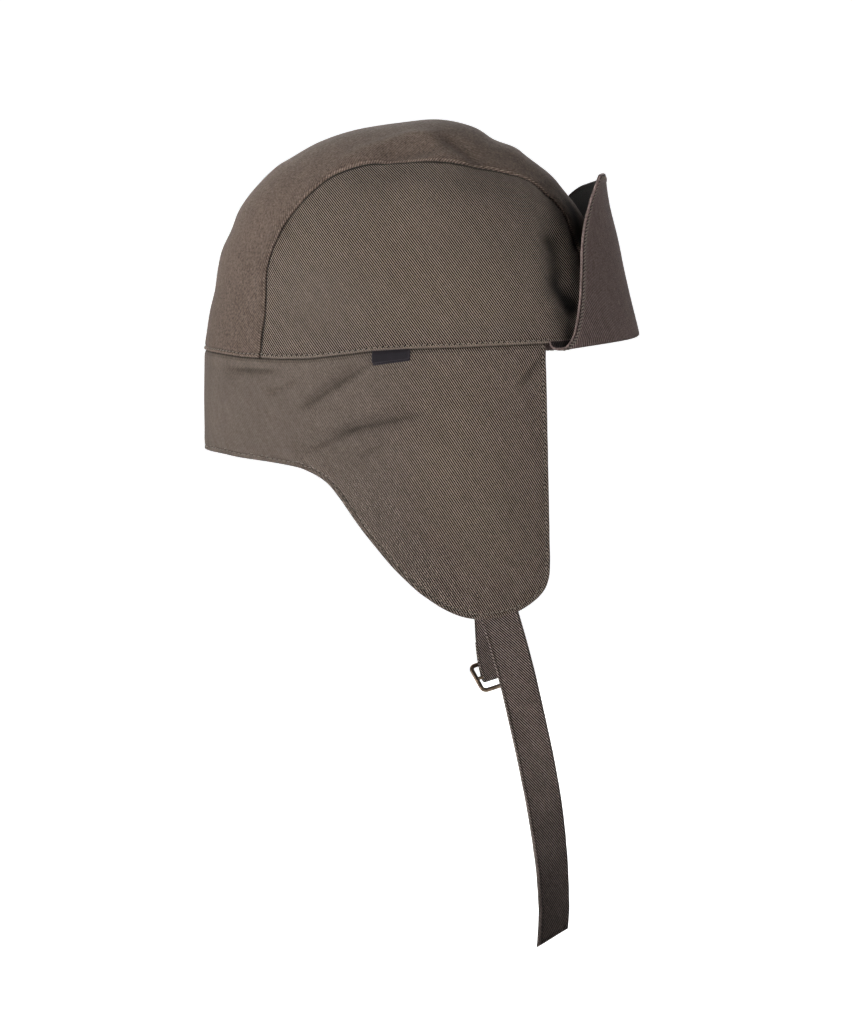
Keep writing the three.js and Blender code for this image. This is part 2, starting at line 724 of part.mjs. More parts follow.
function shortStrap() {
  const outer = [];
  const inner = [];
  const { along, across, face } = barFrame;
  for (const u of steps(4)) {
    const share = u - 0.5;
    const start = strapStart(shortStrapGuide, share);
    const middles = [];
    for (const v of steps(14)) {
      const f = shortStrapGuide.frameAt(start + (shortStrapGuide.total - start) * v);
      middles.push([f.middle.clone().addScaledVector(f.across, STRAP_WIDTH * share), f.face]);
    }
    for (const angle of [20, 40, 60, 80, 100, 120, 140, 160]) {
      const a = THREE.MathUtils.degToRad(angle);
      const away = face.clone().multiplyScalar(-Math.cos(a)).addScaledVector(along, Math.sin(a));
      const p = barMiddle.clone().addScaledVector(away, loopRadius)
        .addScaledVector(across, STRAP_WIDTH * share);
      middles.push([p, away.clone().negate()]);
    }
    for (const v of steps(6)) {
      const back = LOOP_TAIL * v;
      const f = shortStrapGuide.frameAt(shortStrapGuide.total - back);
      const closing = 1 - 0.33 * Math.min(1, v * 1.6);
      const p = f.middle.clone().addScaledVector(f.across, STRAP_WIDTH * share)
        .addScaledVector(f.face, 2 * loopRadius * closing);
      middles.push([p, f.face.clone().negate()]);
    }
    outer.push(middles.map(([p, out]) => p.clone().addScaledVector(out, -STRAP_WALL / 2)));
    inner.push(middles.map(([p, out]) => p.clone().addScaledVector(out, STRAP_WALL / 2)));
  }
  return wallBetween(outer, inner);
}

// Round wire bent along a path, closed on itself or with flat ends
function wireAlong(path, radius, closed) {
  const sides = 10;
  const vertices = [];
  const triangles = [];
  const count = path.length;
  path.forEach((p, i) => {
    const before = closed ? path[(i + count - 1) % count] : path[Math.max(0, i - 1)];
    const after = closed ? path[(i + 1) % count] : path[Math.min(count - 1, i + 1)];
    const along = after.clone().sub(before).normalize();
    const up = new THREE.Vector3(0, 0, 1);
    const out = up.clone().cross(along).normalize();
    for (let k = 0; k < sides; k += 1) {
      const a = (2 * Math.PI * k) / sides;
      const q = p.clone().addScaledVector(out, radius * Math.cos(a))
        .addScaledVector(up, radius * Math.sin(a));
      vertices.push(q.x, q.y, q.z);
    }
  });
  const rings = closed ? count : count - 1;
  for (let i = 0; i < rings; i += 1) {
    const next = (i + 1) % count;
    for (let k = 0; k < sides; k += 1) {
      const l = (k + 1) % sides;
      triangles.push(i * sides + k, next * sides + k, next * sides + l);
      triangles.push(i * sides + k, next * sides + l, i * sides + l);
    }
  }
  if (!closed) {
    for (let k = 1; k < sides - 1; k += 1) {
      triangles.push(0, k, k + 1);
      const base = (count - 1) * sides;
      triangles.push(base, base + k + 1, base + k);
    }
  }
  const geometry = new THREE.BufferGeometry();
  geometry.setAttribute('position', new THREE.Float32BufferAttribute(vertices, 3));
  geometry.setIndex(triangles);
  return facesOut(geometry);
}

const wasm = await Module();
wasm.setup();

function toSolid(geometry) {
  const bare = geometry.clone();
  bare.deleteAttribute('normal');
  bare.deleteAttribute('uv');
  const merged = mergeVertices(bare, 1e-4);
  return new wasm.Manifold(new wasm.Mesh({
    numProp: 3,
    vertProperties: new Float32Array(merged.attributes.position.array),
    triVerts: new Uint32Array(merged.index.array),
  }));
}

function fromSolid(solid) {
  const mesh = solid.getMesh();
  const geometry = new THREE.BufferGeometry();
  geometry.setAttribute('position', new THREE.BufferAttribute(mesh.vertProperties, 3));
  geometry.setIndex(new THREE.BufferAttribute(mesh.triVerts, 1));
  geometry.computeVertexNormals();
  return geometry;
}

// Slide buckle lying flat: a rounded frame of wire with one bar across its middle
function slideBuckle() {
  const corners = [[1, 1, 0], [-1, 1, 90], [-1, -1, 180], [1, -1, 270]];
  const path = [];
  for (const [sx, sy, start] of corners) {
    for (const angle of [0, 30, 60, 90]) {
      const a = THREE.MathUtils.degToRad(start + angle);
      path.push(new THREE.Vector3(
        sx * (BUCKLE_WIDTH / 2 - BUCKLE_CORNER) + BUCKLE_CORNER * Math.cos(a),
        sy * (BUCKLE_HEIGHT / 2 - BUCKLE_CORNER) + BUCKLE_CORNER * Math.sin(a),
        0,
      ));
    }
  }
  const frame = wireAlong(path, BUCKLE_WIRE / 2, true);
  const bar = wireAlong([
    new THREE.Vector3(-BUCKLE_WIDTH / 2, 0, 0),
    new THREE.Vector3(0, 0, 0),
    new THREE.Vector3(BUCKLE_WIDTH / 2, 0, 0),
  ], BUCKLE_BAR_WIRE / 2, false);
  return fromSolid(toSolid(frame).add(toSolid(bar)));
}

// Label: a narrow woven tab sewn into the seam, lying on the band, with its wall built outward
function labelTab() {
  const surface = (u, v) => {
    const x = LABEL_MIDDLE_X + LABEL_WIDTH * (u - 0.5);
    const top = openingZ(x) - 0.6;
    const length = between(ovalLengthAtX, x);
    return bandPoint(length, top - LABEL_HEIGHT * v, -1, CLEARANCE);
  };
  return clothWall(surface, steps(10), steps(4), LABEL_WALL);
}

// Colours of the pieces
const sideTwill = { color: 0x655c50, roughness: 0.9, metalness: 0 };
const topTwill = { color: 0x6e6257, roughness: 0.9, metalness: 0 };
const flapTwill = { color: 0x5f554f, roughness: 0.9, metalness: 0 };
const strapTwill = { color: 0x4e4640, roughness: 0.9, metalness: 0 };
const wovenLabel = { color: 0x1c1b1b, roughness: 0.75, metalness: 0 };
const agedBrass = { color: 0x6b4c2a, roughness: 0.35, metalness: 1 };

const hat = new THREE.Group();
hat.name = 'trooper_hat';

function addPiece(name, geometry, look) {
  const mesh = new THREE.Mesh(geometry, new THREE.MeshStandardMaterial(look));
  mesh.name = name;
  hat.add(mesh);
  return mesh;
}

addPiece('crown_centre_panel', centrePanel(), topTwill);
addPiece('crown_side_panel_right', sidePanel(-1), sideTwill);
addPiece('crown_side_panel_left', sidePanel(1), sideTwill);
addPiece('ear_neck_band', earBand(), sideTwill);
addPiece('front_flap', frontFlap(), flapTwill);
addPiece('long_strap', longStrap(), strapTwill);
addPiece('short_strap', shortStrap(), strapTwill);
addPiece('label_tab', labelTab(), wovenLabel);

// The buckle's bar lies in the strap's loop, and its upper part leans away from the strap
const buckle = addPiece('slide_buckle', slideBuckle(), agedBrass);
const barAcross = barFrame.across.clone();
const tilt = THREE.MathUtils.degToRad(BUCKLE_TILT);
const upAlong = barFrame.along.clone().negate().multiplyScalar(Math.cos(tilt))
  .addScaledVector(barFrame.face, Math.sin(tilt));
const buckleOut = barAcross.clone().cross(upAlong).normalize();
const placing = new THREE.Matrix4().makeBasis(barAcross, buckleOut.clone().cross(barAcross), buckleOut);
buckle.setRotationFromMatrix(placing);
buckle.position.copy(barMiddle);

export default hat;
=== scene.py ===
import math

import bpy
import numpy as np
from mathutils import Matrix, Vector
from mathutils.bvhtree import BVHTree
from mathutils.kdtree import KDTree


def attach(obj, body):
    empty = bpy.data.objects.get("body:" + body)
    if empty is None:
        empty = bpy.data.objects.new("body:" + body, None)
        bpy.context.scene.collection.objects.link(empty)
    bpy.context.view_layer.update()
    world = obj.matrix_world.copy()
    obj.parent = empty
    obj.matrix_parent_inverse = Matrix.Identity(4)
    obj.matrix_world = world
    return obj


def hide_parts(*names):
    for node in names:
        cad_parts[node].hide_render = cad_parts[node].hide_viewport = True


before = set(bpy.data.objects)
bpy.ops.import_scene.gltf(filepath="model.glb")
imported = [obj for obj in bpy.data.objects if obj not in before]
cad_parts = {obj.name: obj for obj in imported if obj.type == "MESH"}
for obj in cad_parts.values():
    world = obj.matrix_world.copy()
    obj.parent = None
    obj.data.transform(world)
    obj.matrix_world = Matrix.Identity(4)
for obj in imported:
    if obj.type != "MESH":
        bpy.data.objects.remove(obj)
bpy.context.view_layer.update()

# The pieces are worked out in millimetres, in the frame of the part, and made in metres
MM = 0.001


def add_object(name, data):
    thing = bpy.data.objects.new(name, data)
    bpy.context.scene.collection.objects.link(thing)
    return thing


def aim(thing, place, target):
    thing.location = place
    thing.rotation_euler = (Vector(target) - Vector(place)).to_track_quat("-Z", "Y").to_euler()


# ---- camera

camera_data = bpy.data.cameras.new("side_camera")
camera_data.lens = 98.6
camera_data.sensor_width = 36
camera_data.clip_start = 0.05
camera_data.clip_end = 60
camera = add_object("side_camera", camera_data)
bpy.context.scene.camera = camera
aim(camera, (0.002, -1.4, 0.0), (0.002, 0, -0.081))

# ---- sizes

# Head opening and crown
HEAD_HALF_WIDTH = 79
SECTION_POWER = 2.5
BACK_REACH = 107.9
FRONT_REACH = 102.8

# Seams: the crown's foot over the opening, the band's top behind it, and the middle strip over the side panels
FOOT_GAP = 0.1
BAND_OVERLAP = 0.8
PANEL_TUCK = 0.7
STRIP_LAP = 0.25

# Cloth walls
CROWN_WALL = 1.8
BAND_WALL = 2.0
FLAP_WALL = 1.5
STRAP_WALL = 1.8
LABEL_WALL = 0.44

# Ear band
BAND_FRONT_X = 58.8
BAND_BACK_BULGE = 0.6
EAR_DRAFT = 0.11
EAR_DEPTH = 129

# Turned-up front flap: its root is sewn to the crown, and a fold leads from there to its face
FLAP_TUCK = 0.4
FLAP_FOLD_RADIUS = 2.25
FLAP_ROOT_X = 59.8
FLAP_ROOT_RISE = 1.1
FLAP_ROOT_GAP = 0.06
FLAP_END_X = 66.0
FLAP_FOLD_TOP = 0.105
FLAP_TOP_RISE = 3.4
FLAP_CORNER_DROP = 2.4

# Straps and buckle
STRAP_WIDTH = 18
STRAP_EDGE_DROP = 0.45
STRAP_HIDDEN = 2.0
LONG_STRAP_END_SLANT = 4
LOOP_BAR_CLEARANCE = 0.35
LOOP_TAIL = 17
BUCKLE_WIDTH = 24
BUCKLE_HEIGHT = 17
BUCKLE_CORNER = 2.6
BUCKLE_WIRE = 2.3
BUCKLE_BAR_WIRE = 1.8
BUCKLE_TILT = math.radians(44)

# Label
LABEL_WIDTH = 17.6
LABEL_HEIGHT = 5.5
LABEL_MIDDLE_X = -14.9
LABEL_CORNER = 0.8
LABEL_SLANT = 1.3

# Layers of the label: how far each hangs down, how far it lies off the cloth, and how far it is shifted
LABEL_LAYERS = [(LABEL_HEIGHT, 0.95, 0.0), (LABEL_HEIGHT + 0.9, 0.42, 0.4)]

# Rows of stitches, by their distance from the edge they hold
BASE_STITCH = 2.2
BAND_STITCH = 2.5
FLAP_STITCH = 1.9

# Outline of the crown along its middle, from the nape up and over to the forehead: x, z
CROWN_OUTLINE = [
    (-107.9, -9.0), (-107.9, 0.0), (-106.8, 9.8), (-105.2, 19.7), (-102.8, 29.6), (-101.4, 39.4),
    (-99.2, 49.2), (-94.6, 59.0), (-90.7, 68.8), (-83.7, 78.7), (-71.8, 90.5), (-65.4, 94.4),
    (-51.5, 102.2), (-34.3, 108.1), (-10.1, 112.1), (8.6, 113.5), (24.5, 110.1), (35.8, 104.2),
    (46.6, 98.4), (55.6, 92.4), (64.1, 85.6), (69.9, 78.7), (76.0, 71.0), (81.5, 62.1),
    (86.5, 51.2), (91.5, 39.3), (95.8, 27.9), (99.4, 17.0), (101.7, 8.0), (102.8, 0.0), (102.8, -9.0),
]

# Seam between the middle strip and a side panel, from the nape to the forehead: x, z
CROWN_SEAM = [
    (-77.9, -4.1), (-77.2, 6.0), (-75.5, 17.0), (-75.2, 26.0), (-74.8, 37.5), (-72.5, 46.9),
    (-65.9, 61.7), (-59.7, 69.0), (-53.0, 76.0), (-44.0, 83.2), (-35.0, 87.0), (-26.4, 89.3),
    (-17.3, 90.2), (-4.0, 90.7), (8.9, 90.5), (22.7, 88.4), (37.5, 85.7), (51.7, 81.8),
    (61.8, 73.2), (68.2, 66.2), (72.4, 56.4), (77.2, 42.0), (80.0, 24.0), (80.6, 4.7),
]

# Height of the seam round the head opening: x, z
OPENING_HEIGHT = [
    (-107.9, 0.1), (-104.0, -0.9), (-96.6, -2.1), (-87.8, -3.4), (-77.7, -4.1), (-67.9, -4.5),
    (-54.0, -4.3), (-41.6, -3.0), (-32.1, -1.9), (-23.6, -0.8), (-4.3, 0.3), (17.3, 0.9),
    (36.1, 1.8), (58.5, 2.8), (66.0, 3.3), (80.0, 4.8), (94.0, 7.0), (102.8, 8.7),
]

# Lower edge of one half of the ear band, from the nape to the front of the ear flap: x, z
BAND_EDGE = [
    (-107.9, -49.2), (-105.5, -49.4), (-96.9, -50.4), (-88.5, -51.8), (-76.5, -53.2),
    (-64.8, -54.9), (-57.1, -56.7), (-50.4, -59.8), (-45.1, -63.5), (-39.0, -71.0),
    (-35.7, -75.8), (-29.0, -85.3), (-21.5, -94.8), (-13.4, -104.3), (-3.5, -113.9),
    (2.7, -118.7), (10.3, -123.6), (19.4, -127.4), (27.5, -128.5), (37.0, -127.6),
    (46.1, -124.9), (55.2, -118.8), (59.1, -114.1), (61.0, -108.4), (61.4, -101.0),
]

# Soft folds in each half of the ear band: from x, z to x, z, with depth, width and how much shade is painted along
# them
BAND_FOLDS = [
    (-91.9, -9.2, -70.4, -10.1, 1.4, 4.6, 0.45),
    (-72.4, -19.6, -57.8, -13.8, 0.8, 4.5, 0.15),
    (-55.5, -26.6, -27.0, -8.1, 2.1, 4.2, 0.42),
    (-53.5, -47.0, -31.0, -37.5, 1.2, 4.6, 0.3),
    (-38.0, -38.5, -3.4, -31.0, 2.5, 4.4, 0.5),
    (-30.8, -50.6, -17.1, -43.9, 1.1, 4.5, 0.2),
    (45.7, -16.6, 56.6, -3.0, 1.2, 5.0, 0.4),
]

# How soft the band's ribs look, by length from the nape
BAND_SOFTNESS = [(85, 0.95), (100, 0.8), (118, 0.72), (132, 0.58), (142, 0.35), (151, 0.15), (163, 0.04)]

# Levels of the front flap, from its fold to its top edge: front x, front z, end x, end y, end z, bow, lean
FLAP_LEVELS = [
    (107.3, 6.4, 68.6, 71.2, -0.6, 2.5, 0),
    (106.9, 10.5, 72.6, 69.4, 8.5, 2.4, 0),
    (103.6, 24.0, 75.0, 67.6, 23.0, 2.3, 0),
    (100.1, 39.0, 75.8, 66.6, 38.5, 2.2, 0.8),
    (96.9, 54.0, 76.6, 66.0, 54.0, 2.1, 2.0),
    (92.8, 69.0, 80.0, 65.4, 69.0, 2.0, 5.2),
    (90.2, 82.2, 85.0, 64.8, 82.6, 2.0, 7.8),
]

# Middle line of the long strap, with how far it turns about that line in degrees: x, y, z, turn
LONG_STRAP_LINE = [
    (37.4, -67.2, -127.6, 4), (40.9, -67.4, -139.7, 5), (45.6, -67.8, -157.4, 6),
    (50.0, -68.2, -176.4, 7), (54.2, -68.7, -195.6, 9), (57.8, -69.1, -214.6, 12),
    (60.4, -69.5, -232.2, 18), (62.0, -69.9, -247.0, 25), (62.8, -70.2, -260.5, 31),
    (62.9, -70.4, -271.0, 34), (62.2, -70.5, -281.2, 37),
]

# Middle line of the short strap, down to the buckle's bar: x, y, z, turn
SHORT_STRAP_LINE = [
    (35.4, 67.2, -127.7, 0), (36.2, 67.6, -142.8, 0), (36.9, 68.2, -153.9, -2),
    (38.2, 68.8, -162.6, -10), (40.1, 69.2, -169.7, -18),
]

# Dents of the crown, on both sides alike: depth, width, how much shade is painted along them (less than 0 paints
# light; those 0 deep are painted shade alone), and the points they run through
CROWN_DENTS = [
    (2.9, 6.8, 1.05, [(63.2, 59.6, 52.6), (65.0, 60.3, 46.9), (65.5, 62.0, 38.3), (65.2, 63.2, 31.4),
                     (68.0, 62.6, 26.2), (73.0, 60.2, 21.6)]),
    (1.6, 5.5, 0.3, [(60.0, 56.0, 64.0), (64.5, 57.0, 58.0), (67.0, 58.0, 52.0)]),
    (0.3, 7.8, 0.93, [(73.7, 30.6, 69.7), (75.8, 38.0, 60.5), (76.6, 44.0, 52.5)]),
    (0.0, 6.0, 0.2, [(75.0, 53.5, 38.0), (73.8, 58.5, 25.6), (72.7, 61.2, 17.9), (69.5, 65.0, 6.0)]),
    (0.0, 6.6, 0.5, [(65.0, 66.3, 15.5), (66.3, 66.2, 12.5), (67.3, 66.3, 9.0), (68.3, 66.4, 5.0)]),
    (-1.8, 5.0, -0.1, [(-35.1, 50.3, 92.5), (-17.4, 45.8, 100.5), (-4.0, 42.1, 104.6), (7.5, 44.0, 104.0)]),
    (2.2, 5.0, 0.2, [(-16.0, 54.0, 92.5), (-8.7, 53.9, 93.7), (2.0, 52.0, 95.5)]),
    (2.6, 4.6, 0.3, [(10.9, 44.1, 102.9), (18.0, 48.0, 98.0), (25.2, 51.8, 92.4)]),
    (0.35, 5.0, 0.03, [(34.0, -30.0, 102.0), (35.0, 0.0, 105.0), (34.0, 30.0, 102.0)]),
    (-0.4, 5.0, -0.02, [(45.0, -30.0, 97.0), (46.0, 0.0, 99.0), (45.0, 30.0, 97.0)]),
    (0.2, 9.0, 0.03, [(28.0, 36.0, 103.0), (48.0, 36.0, 92.0), (62.0, 36.0, 80.0)]),
    (0.0, 15.0, 0.16, [(-24.0, 58.0, 84.0), (20.0, 58.0, 82.0), (50.0, 56.0, 74.0)]),
    (1.0, 5.0, 0.15, [(-66.2, 60.4, 55.0), (-62.0, 56.0, 64.0)]),
    (0.8, 7.0, 0.08, [(-62.6, 69.2, 16.4), (-52.0, 73.0, 9.0), (-43.5, 75.6, 2.2)]),
    (0.7, 7.0, 0.06, [(-52.0, 72.5, 18.0), (-40.0, 75.0, 10.0), (-30.0, 77.5, 4.0)]),
]

# ---- lines and surfaces


def smooth_line(rows, count):
    """Close points on a smooth curve through the rows of a table."""
    p = np.asarray(rows, float)
    last = len(p) - 1
    place = np.arange(count + 1) / count * last
    i = np.minimum(place.astype(int), last - 1)
    w = (place - i)[:, None]
    ahead = np.vstack([2 * p[0] - p[1], p, 2 * p[-1] - p[-2]])
    p0, p1, p2, p3 = ahead[i], ahead[i + 1], ahead[i + 2], ahead[i + 3]
    d0, d1, d2 = (np.sqrt(np.linalg.norm(run, axis=1))[:, None] for run in (p1 - p0, p2 - p1, p3 - p2))
    start = ((p1 - p0) / d0 - (p2 - p0) / (d0 + d1) + (p2 - p1) / d1) * d1
    end = ((p2 - p1) / d1 - (p3 - p1) / (d1 + d2) + (p3 - p2) / d2) * d1
    return p1 + start * w + (3 * (p2 - p1) - 2 * start - end) * w**2 + (2 * (p1 - p2) + start + end) * w**3


def lengths_along(points, axis=0):
    """Length up to each point of a line, or of a grid of points along one of its axes."""
    steps = np.linalg.norm(np.diff(points, axis=axis), axis=-1)
    return np.cumsum(np.insert(steps, 0, 0, axis=axis), axis=axis)


def point_at(place, places, line):
    """Point on a line at a place, where places says at which one each of its points lies."""
    return np.stack([np.interp(place, places, values) for values in line.T], -1)


def unit(v):
    return v / np.maximum(np.linalg.norm(v, axis=-1, keepdims=True), 1e-12)


def bell(distance, width):
    return np.exp(-((distance / width) ** 2))


def moved(points, ways, far):
    """Points moved along a way each, by a length each."""
    return points + ways * far[..., None]


def share_of(value):
    """value, kept from 0 to 1."""
    return np.clip(value, 0, 1)


def distance_from_line(points, line):
    """Shortest distance from each point to a line of close points."""
    tree = KDTree(len(line))
    for i, p in enumerate(line):
        tree.insert(p, i)
    tree.balance()
    flat = points.reshape(-1, 3)
    nearest = np.array([tree.find(p)[1] for p in flat])
    best = np.full(len(flat), np.inf)
    for step in (-1, 0):
        first = np.clip(nearest + step, 0, len(line) - 2)
        a, run = line[first], line[first + 1] - line[first]
        share = share_of(((flat - a) * run).sum(1) / np.maximum((run * run).sum(1), 1e-12))
        best = np.minimum(best, np.linalg.norm(flat - a - run * share[:, None], axis=1))
    return best.reshape(points.shape[:-1])


def close_at_ends(first, last, length, count):
    """Shares from 0 to 1 that lie close at either end, at these distances, and evenly between."""
    first, last = np.asarray(first) / length, np.asarray(last) / length
    middle = np.linspace(first[-1], 1 - last[-1], count + 2)[1:-1]
    return np.concatenate([first, middle, 1 - last[::-1]])


# Distances from a seam and from a welt at which the rows of points lie close
SEAM_ROWS = [0, 0.1, 0.3, 0.55, 0.8, 0.95, 1.1, 1.25, 1.4, 1.55, 1.7, 1.9, 2.2, 2.7, 3.5, 4.6]
WELT_ROWS = [0, 0.1, 0.25, 0.5, 0.8, 1.1, 1.4, 1.7, 2.0, 2.3, 2.6, 3.0, 3.6, 4.4, 5.4]

outline = smooth_line(CROWN_OUTLINE, 900)


def angle_from_nape(x, z):
    angle = np.arctan2(z, -x)
    return np.where(angle < -math.pi / 2, angle + 2 * math.pi, angle)


outline_angle = angle_from_nape(outline[:, 0], outline[:, 1])
outline_reach = np.hypot(outline[:, 0], outline[:, 1])
opening = np.array(OPENING_HEIGHT)


def crown_reach(angle):
    return np.interp(angle, outline_angle, outline_reach)


def opening_z(x):
    return np.interp(x, opening[:, 0], opening[:, 1])


def crown_level(p):
    """1 on the crown, less inside it."""
    reach = crown_reach(angle_from_nape(p[..., 0], p[..., 2]))
    across = np.abs(p[..., 1]) / HEAD_HALF_WIDTH
    return (np.hypot(p[..., 0], p[..., 2]) / reach) ** SECTION_POWER + across**SECTION_POWER


def crown_normals(p):
    slopes = []
    for axis in range(3):
        step = np.zeros(3)
        step[axis] = 0.6
        slopes.append(crown_level(p + step) - crown_level(p - step))
    return unit(np.stack(slopes, -1))


def crown_half_width(x, z):
    level = crown_level(np.stack([x, 0 * x, z], -1))
    return HEAD_HALF_WIDTH * (1 - np.minimum(level, 1)) ** (1 / SECTION_POWER)


def crown_point(angle, y):
    r = crown_reach(angle) * (1 - np.abs(y / HEAD_HALF_WIDTH) ** SECTION_POWER) ** (1 / SECTION_POWER)
    return np.stack([-r * np.cos(angle), y, r * np.sin(angle)], -1)


seam_line = smooth_line(CROWN_SEAM, 900)
seam_share = lengths_along(seam_line) / lengths_along(seam_line)[-1]


def seam_point(share, outward):
    """x and z on the crown's seam, moved towards the middle strip."""
    here, behind, ahead = (point_at(np.asarray(share) + step, seam_share, seam_line) for step in (0, -0.004, 0.004))
    run = unit(ahead - behind)
    return here + outward * np.stack([-run[..., 1], run[..., 0]], -1)


def seam_in_space(side):
    """Close points on one of the crown's two seams."""
    flat = seam_point(np.linspace(0, 1, 900), 0)
    y = side * crown_half_width(flat[:, 0], flat[:, 1])
    return np.stack([flat[:, 0], y, flat[:, 1]], -1)


# Plan of the head opening, by its length from the nape along one side
oval_angle = np.linspace(0, math.pi, 1601)
oval_reach = np.where(oval_angle < math.pi / 2, BACK_REACH, FRONT_REACH)
oval_x = -oval_reach * np.sign(np.cos(oval_angle)) * np.abs(np.cos(oval_angle)) ** (2 / SECTION_POWER)
oval_y = HEAD_HALF_WIDTH * np.abs(np.sin(oval_angle)) ** (2 / SECTION_POWER)
oval = np.stack([oval_x, oval_y], -1)
oval_length = lengths_along(oval)


def length_at(x):
    return np.interp(x, oval_x, oval_length)


def x_at(length):
    return np.interp(length, oval_length, oval_x)


def oval_at(length):
    """x, y and the direction out of the opening's oval at a length from the nape."""
    here, ahead, behind = (point_at(place, oval_length, oval) for place in (length, length + 0.5, length - 0.5))
    run = unit(ahead - behind)
    return here[..., 0], here[..., 1], -run[..., 1], run[..., 0]


# ---- making meshes


def add_values(mesh, name, values, kind="FLOAT", field="value"):
    """Gives each vertex of a mesh a value of its own."""
    mesh.attributes.new(name, kind, "POINT").data.foreach_set(field, np.asarray(values, float).ravel())


def finish_mesh(mesh, material):
    mesh.polygons.foreach_set("use_smooth", np.ones(len(mesh.polygons), bool))
    mesh.materials.append(material)


def new_piece(name, vertices, faces, material, edge, uv=None, **more):
    """A mesh from millimetres. edge, uv and the values in more have one row for each vertex."""
    mesh = bpy.data.meshes.new(name)
    mesh.from_pydata((np.asarray(vertices) * MM).tolist(), [], np.asarray(faces).tolist())
    mesh.update()
    if uv is not None:
        layer = mesh.uv_layers.new(name="Cloth")
        at = np.zeros(len(mesh.loops), int)
        mesh.loops.foreach_get("vertex_index", at)
        layer.data.foreach_set("uv", (np.asarray(uv)[at] * MM).ravel())
    add_values(mesh, "from_edge", edge * MM)
    for key, values in more.items():
        add_values(mesh, key, values)
    finish_mesh(mesh, material)
    return add_object(name, mesh)


def facing_out(vertices, faces):
    """Turns the faces round where the volume inside them comes out negative."""
    v, f = np.asarray(vertices, float), np.asarray(faces)
    a, b, c, d = (v[f[:, k]] for k in range(4))
    volume = (np.cross(a, b) * c).sum() + (np.cross(a, c) * d).sum()
    return f if volume > 0 else f[:, ::-1]


def grid_faces(ids):
    """Quads between the rows and columns of a grid of vertex numbers."""
    return np.stack([ids[:-1, :-1], ids[1:, :-1], ids[1:, 1:], ids[:-1, 1:]], -1).reshape(-1, 4)


def closed_wall(middle, normal, wall, edge, roll):
    """Vertices and faces of a wall about a grid of points, rolled off at its edge, and which points are doubled."""
    half = (wall / 2) * np.sqrt(np.maximum(0, 1 - share_of(1 - edge / roll) ** 2))
    half[0] = half[-1] = half[:, 0] = half[:, -1] = 0
    outer, inner = moved(middle, normal, half), moved(middle, normal, -half)
    columns, rows = outer.shape[:2]
    doubled = np.zeros((columns, rows), bool)
    doubled[1:-1, 1:-1] = True
    front = np.arange(columns * rows).reshape(columns, rows)
    back = front.copy()
    back[doubled] = columns * rows + np.arange(doubled.sum())
    vertices = np.vstack([outer.reshape(-1, 3), inner[doubled]])
    faces = np.vstack([grid_faces(front), grid_faces(back)[:, ::-1]])
    return vertices, facing_out(vertices, faces), doubled


def both_sides(front, doubled, back=None):
    """Values for the vertices of a wall, from a grid of them for its front and one for its back."""
    back = front if back is None else back
    return np.concatenate([front.reshape(doubled.size, -1), back[doubled].reshape(doubled.sum(), -1)])


def cloth(name, middle, normal, wall, edge, uv, material, roll=None, wear_and_shade=None, inner_groove=None, **more):
    """A closed wall of cloth about its middle surface, with rolled edges all round."""
    vertices, faces, doubled = closed_wall(middle, normal, wall, edge, wall / 2 if roll is None else roll)

    def both(front, back=None):
        return both_sides(front + 0 * edge, doubled, None if back is None else back + 0 * edge)

    # The back face can take a painted shade of its own; the other values are shared by both faces
    values = {key: both(front, inner_groove if key == "groove" else None) for key, front in more.items()}
    wear_and_shade = edge if wear_and_shade is None else wear_and_shade
    return new_piece(name, vertices, faces, material, both(wear_and_shade), both_sides(uv, doubled), **values)


def ripple(along, seed, size=1.0):
    """Uneven waves along a length, about 1 high, from a few sines with fixed phases."""
    phases = np.random.default_rng(seed).uniform(0, 2 * math.pi, 5)
    waves = [31.0, 19.0, 12.7, 8.3, 5.9]
    total = sum(np.sin(2 * math.pi * along / (w * size) + f) for w, f in zip(waves, phases))
    return total / 2.4


def grid_normals(points):
    """Normals of a grid of points, from its own rows and columns."""
    return unit(np.cross(np.gradient(points, axis=0), np.gradient(points, axis=1)))


# ---- nodes


class Term:
    """An output of a node as a term in a sum: each step of the sum adds a maths node."""

    def __init__(self, socket):
        self.socket, self.tree = socket, socket.id_data

    def maths(self, operation, *values):
        return output(self.tree, "ShaderNodeMath", values or [self], operation=operation)

    def __add__(self, other):
        return self.maths("ADD", self, other)

    def __sub__(self, other):
        return self.maths("SUBTRACT", self, other)

    def __rsub__(self, other):
        return self.maths("SUBTRACT", other, self)

    def __mul__(self, other):
        return self.maths("MULTIPLY", self, other)

    def __truediv__(self, other):
        return self.maths("DIVIDE", self, other)

    __radd__, __rmul__ = __add__, __mul__


def fill(node, values):
    """Gives a node's inputs, in order or by name, a value or a term each."""
    for key, value in values.items() if isinstance(values, dict) else enumerate(values):
        if isinstance(value, Term):
            node.id_data.links.new(value.socket, node.inputs[key])
        else:
            node.inputs[key].default_value = value


def add_node(tree, kind, values=(), **settings):
    node = tree.nodes.new(kind)
    for key, value in settings.items():
        setattr(node, key, value)
    fill(node, values)
    return node


def output(tree, kind, values=(), key=0, **settings):
    """One output of a new node."""
    return Term(add_node(tree, kind, values, **settings).outputs[key])


def fade(value, low, high, to_low, to_high):
    """value from low to high becomes to_low to to_high, smoothly."""
    return output(value.tree, "ShaderNodeMapRange", [value, low, high, to_low, to_high],
                  interpolation_type="SMOOTHSTEP")


def noise(at, scale, detail=2.0, roughness=0.5):
    values = {"Vector": at, "Scale": scale, "Detail": detail, "Roughness": roughness}
    return output(at.tree, "ShaderNodeTexNoise", values, "Fac")


def mix_colours(tree, share, first, second, blend="MIX"):
    return output(tree, "ShaderNodeMix", {0: share, 6: first, 7: second}, 2, data_type="RGBA", blend_type=blend)


def place_on(tree):
    return output(tree, "ShaderNodeTexCoord", (), "Object")


def cloth_on(tree):
    return output(tree, "ShaderNodeUVMap", uv_map="Cloth")


def value_on(tree, name):
    """A value that the mesh holds for each vertex."""
    return output(tree, "ShaderNodeAttribute", (), "Fac", attribute_name=name)


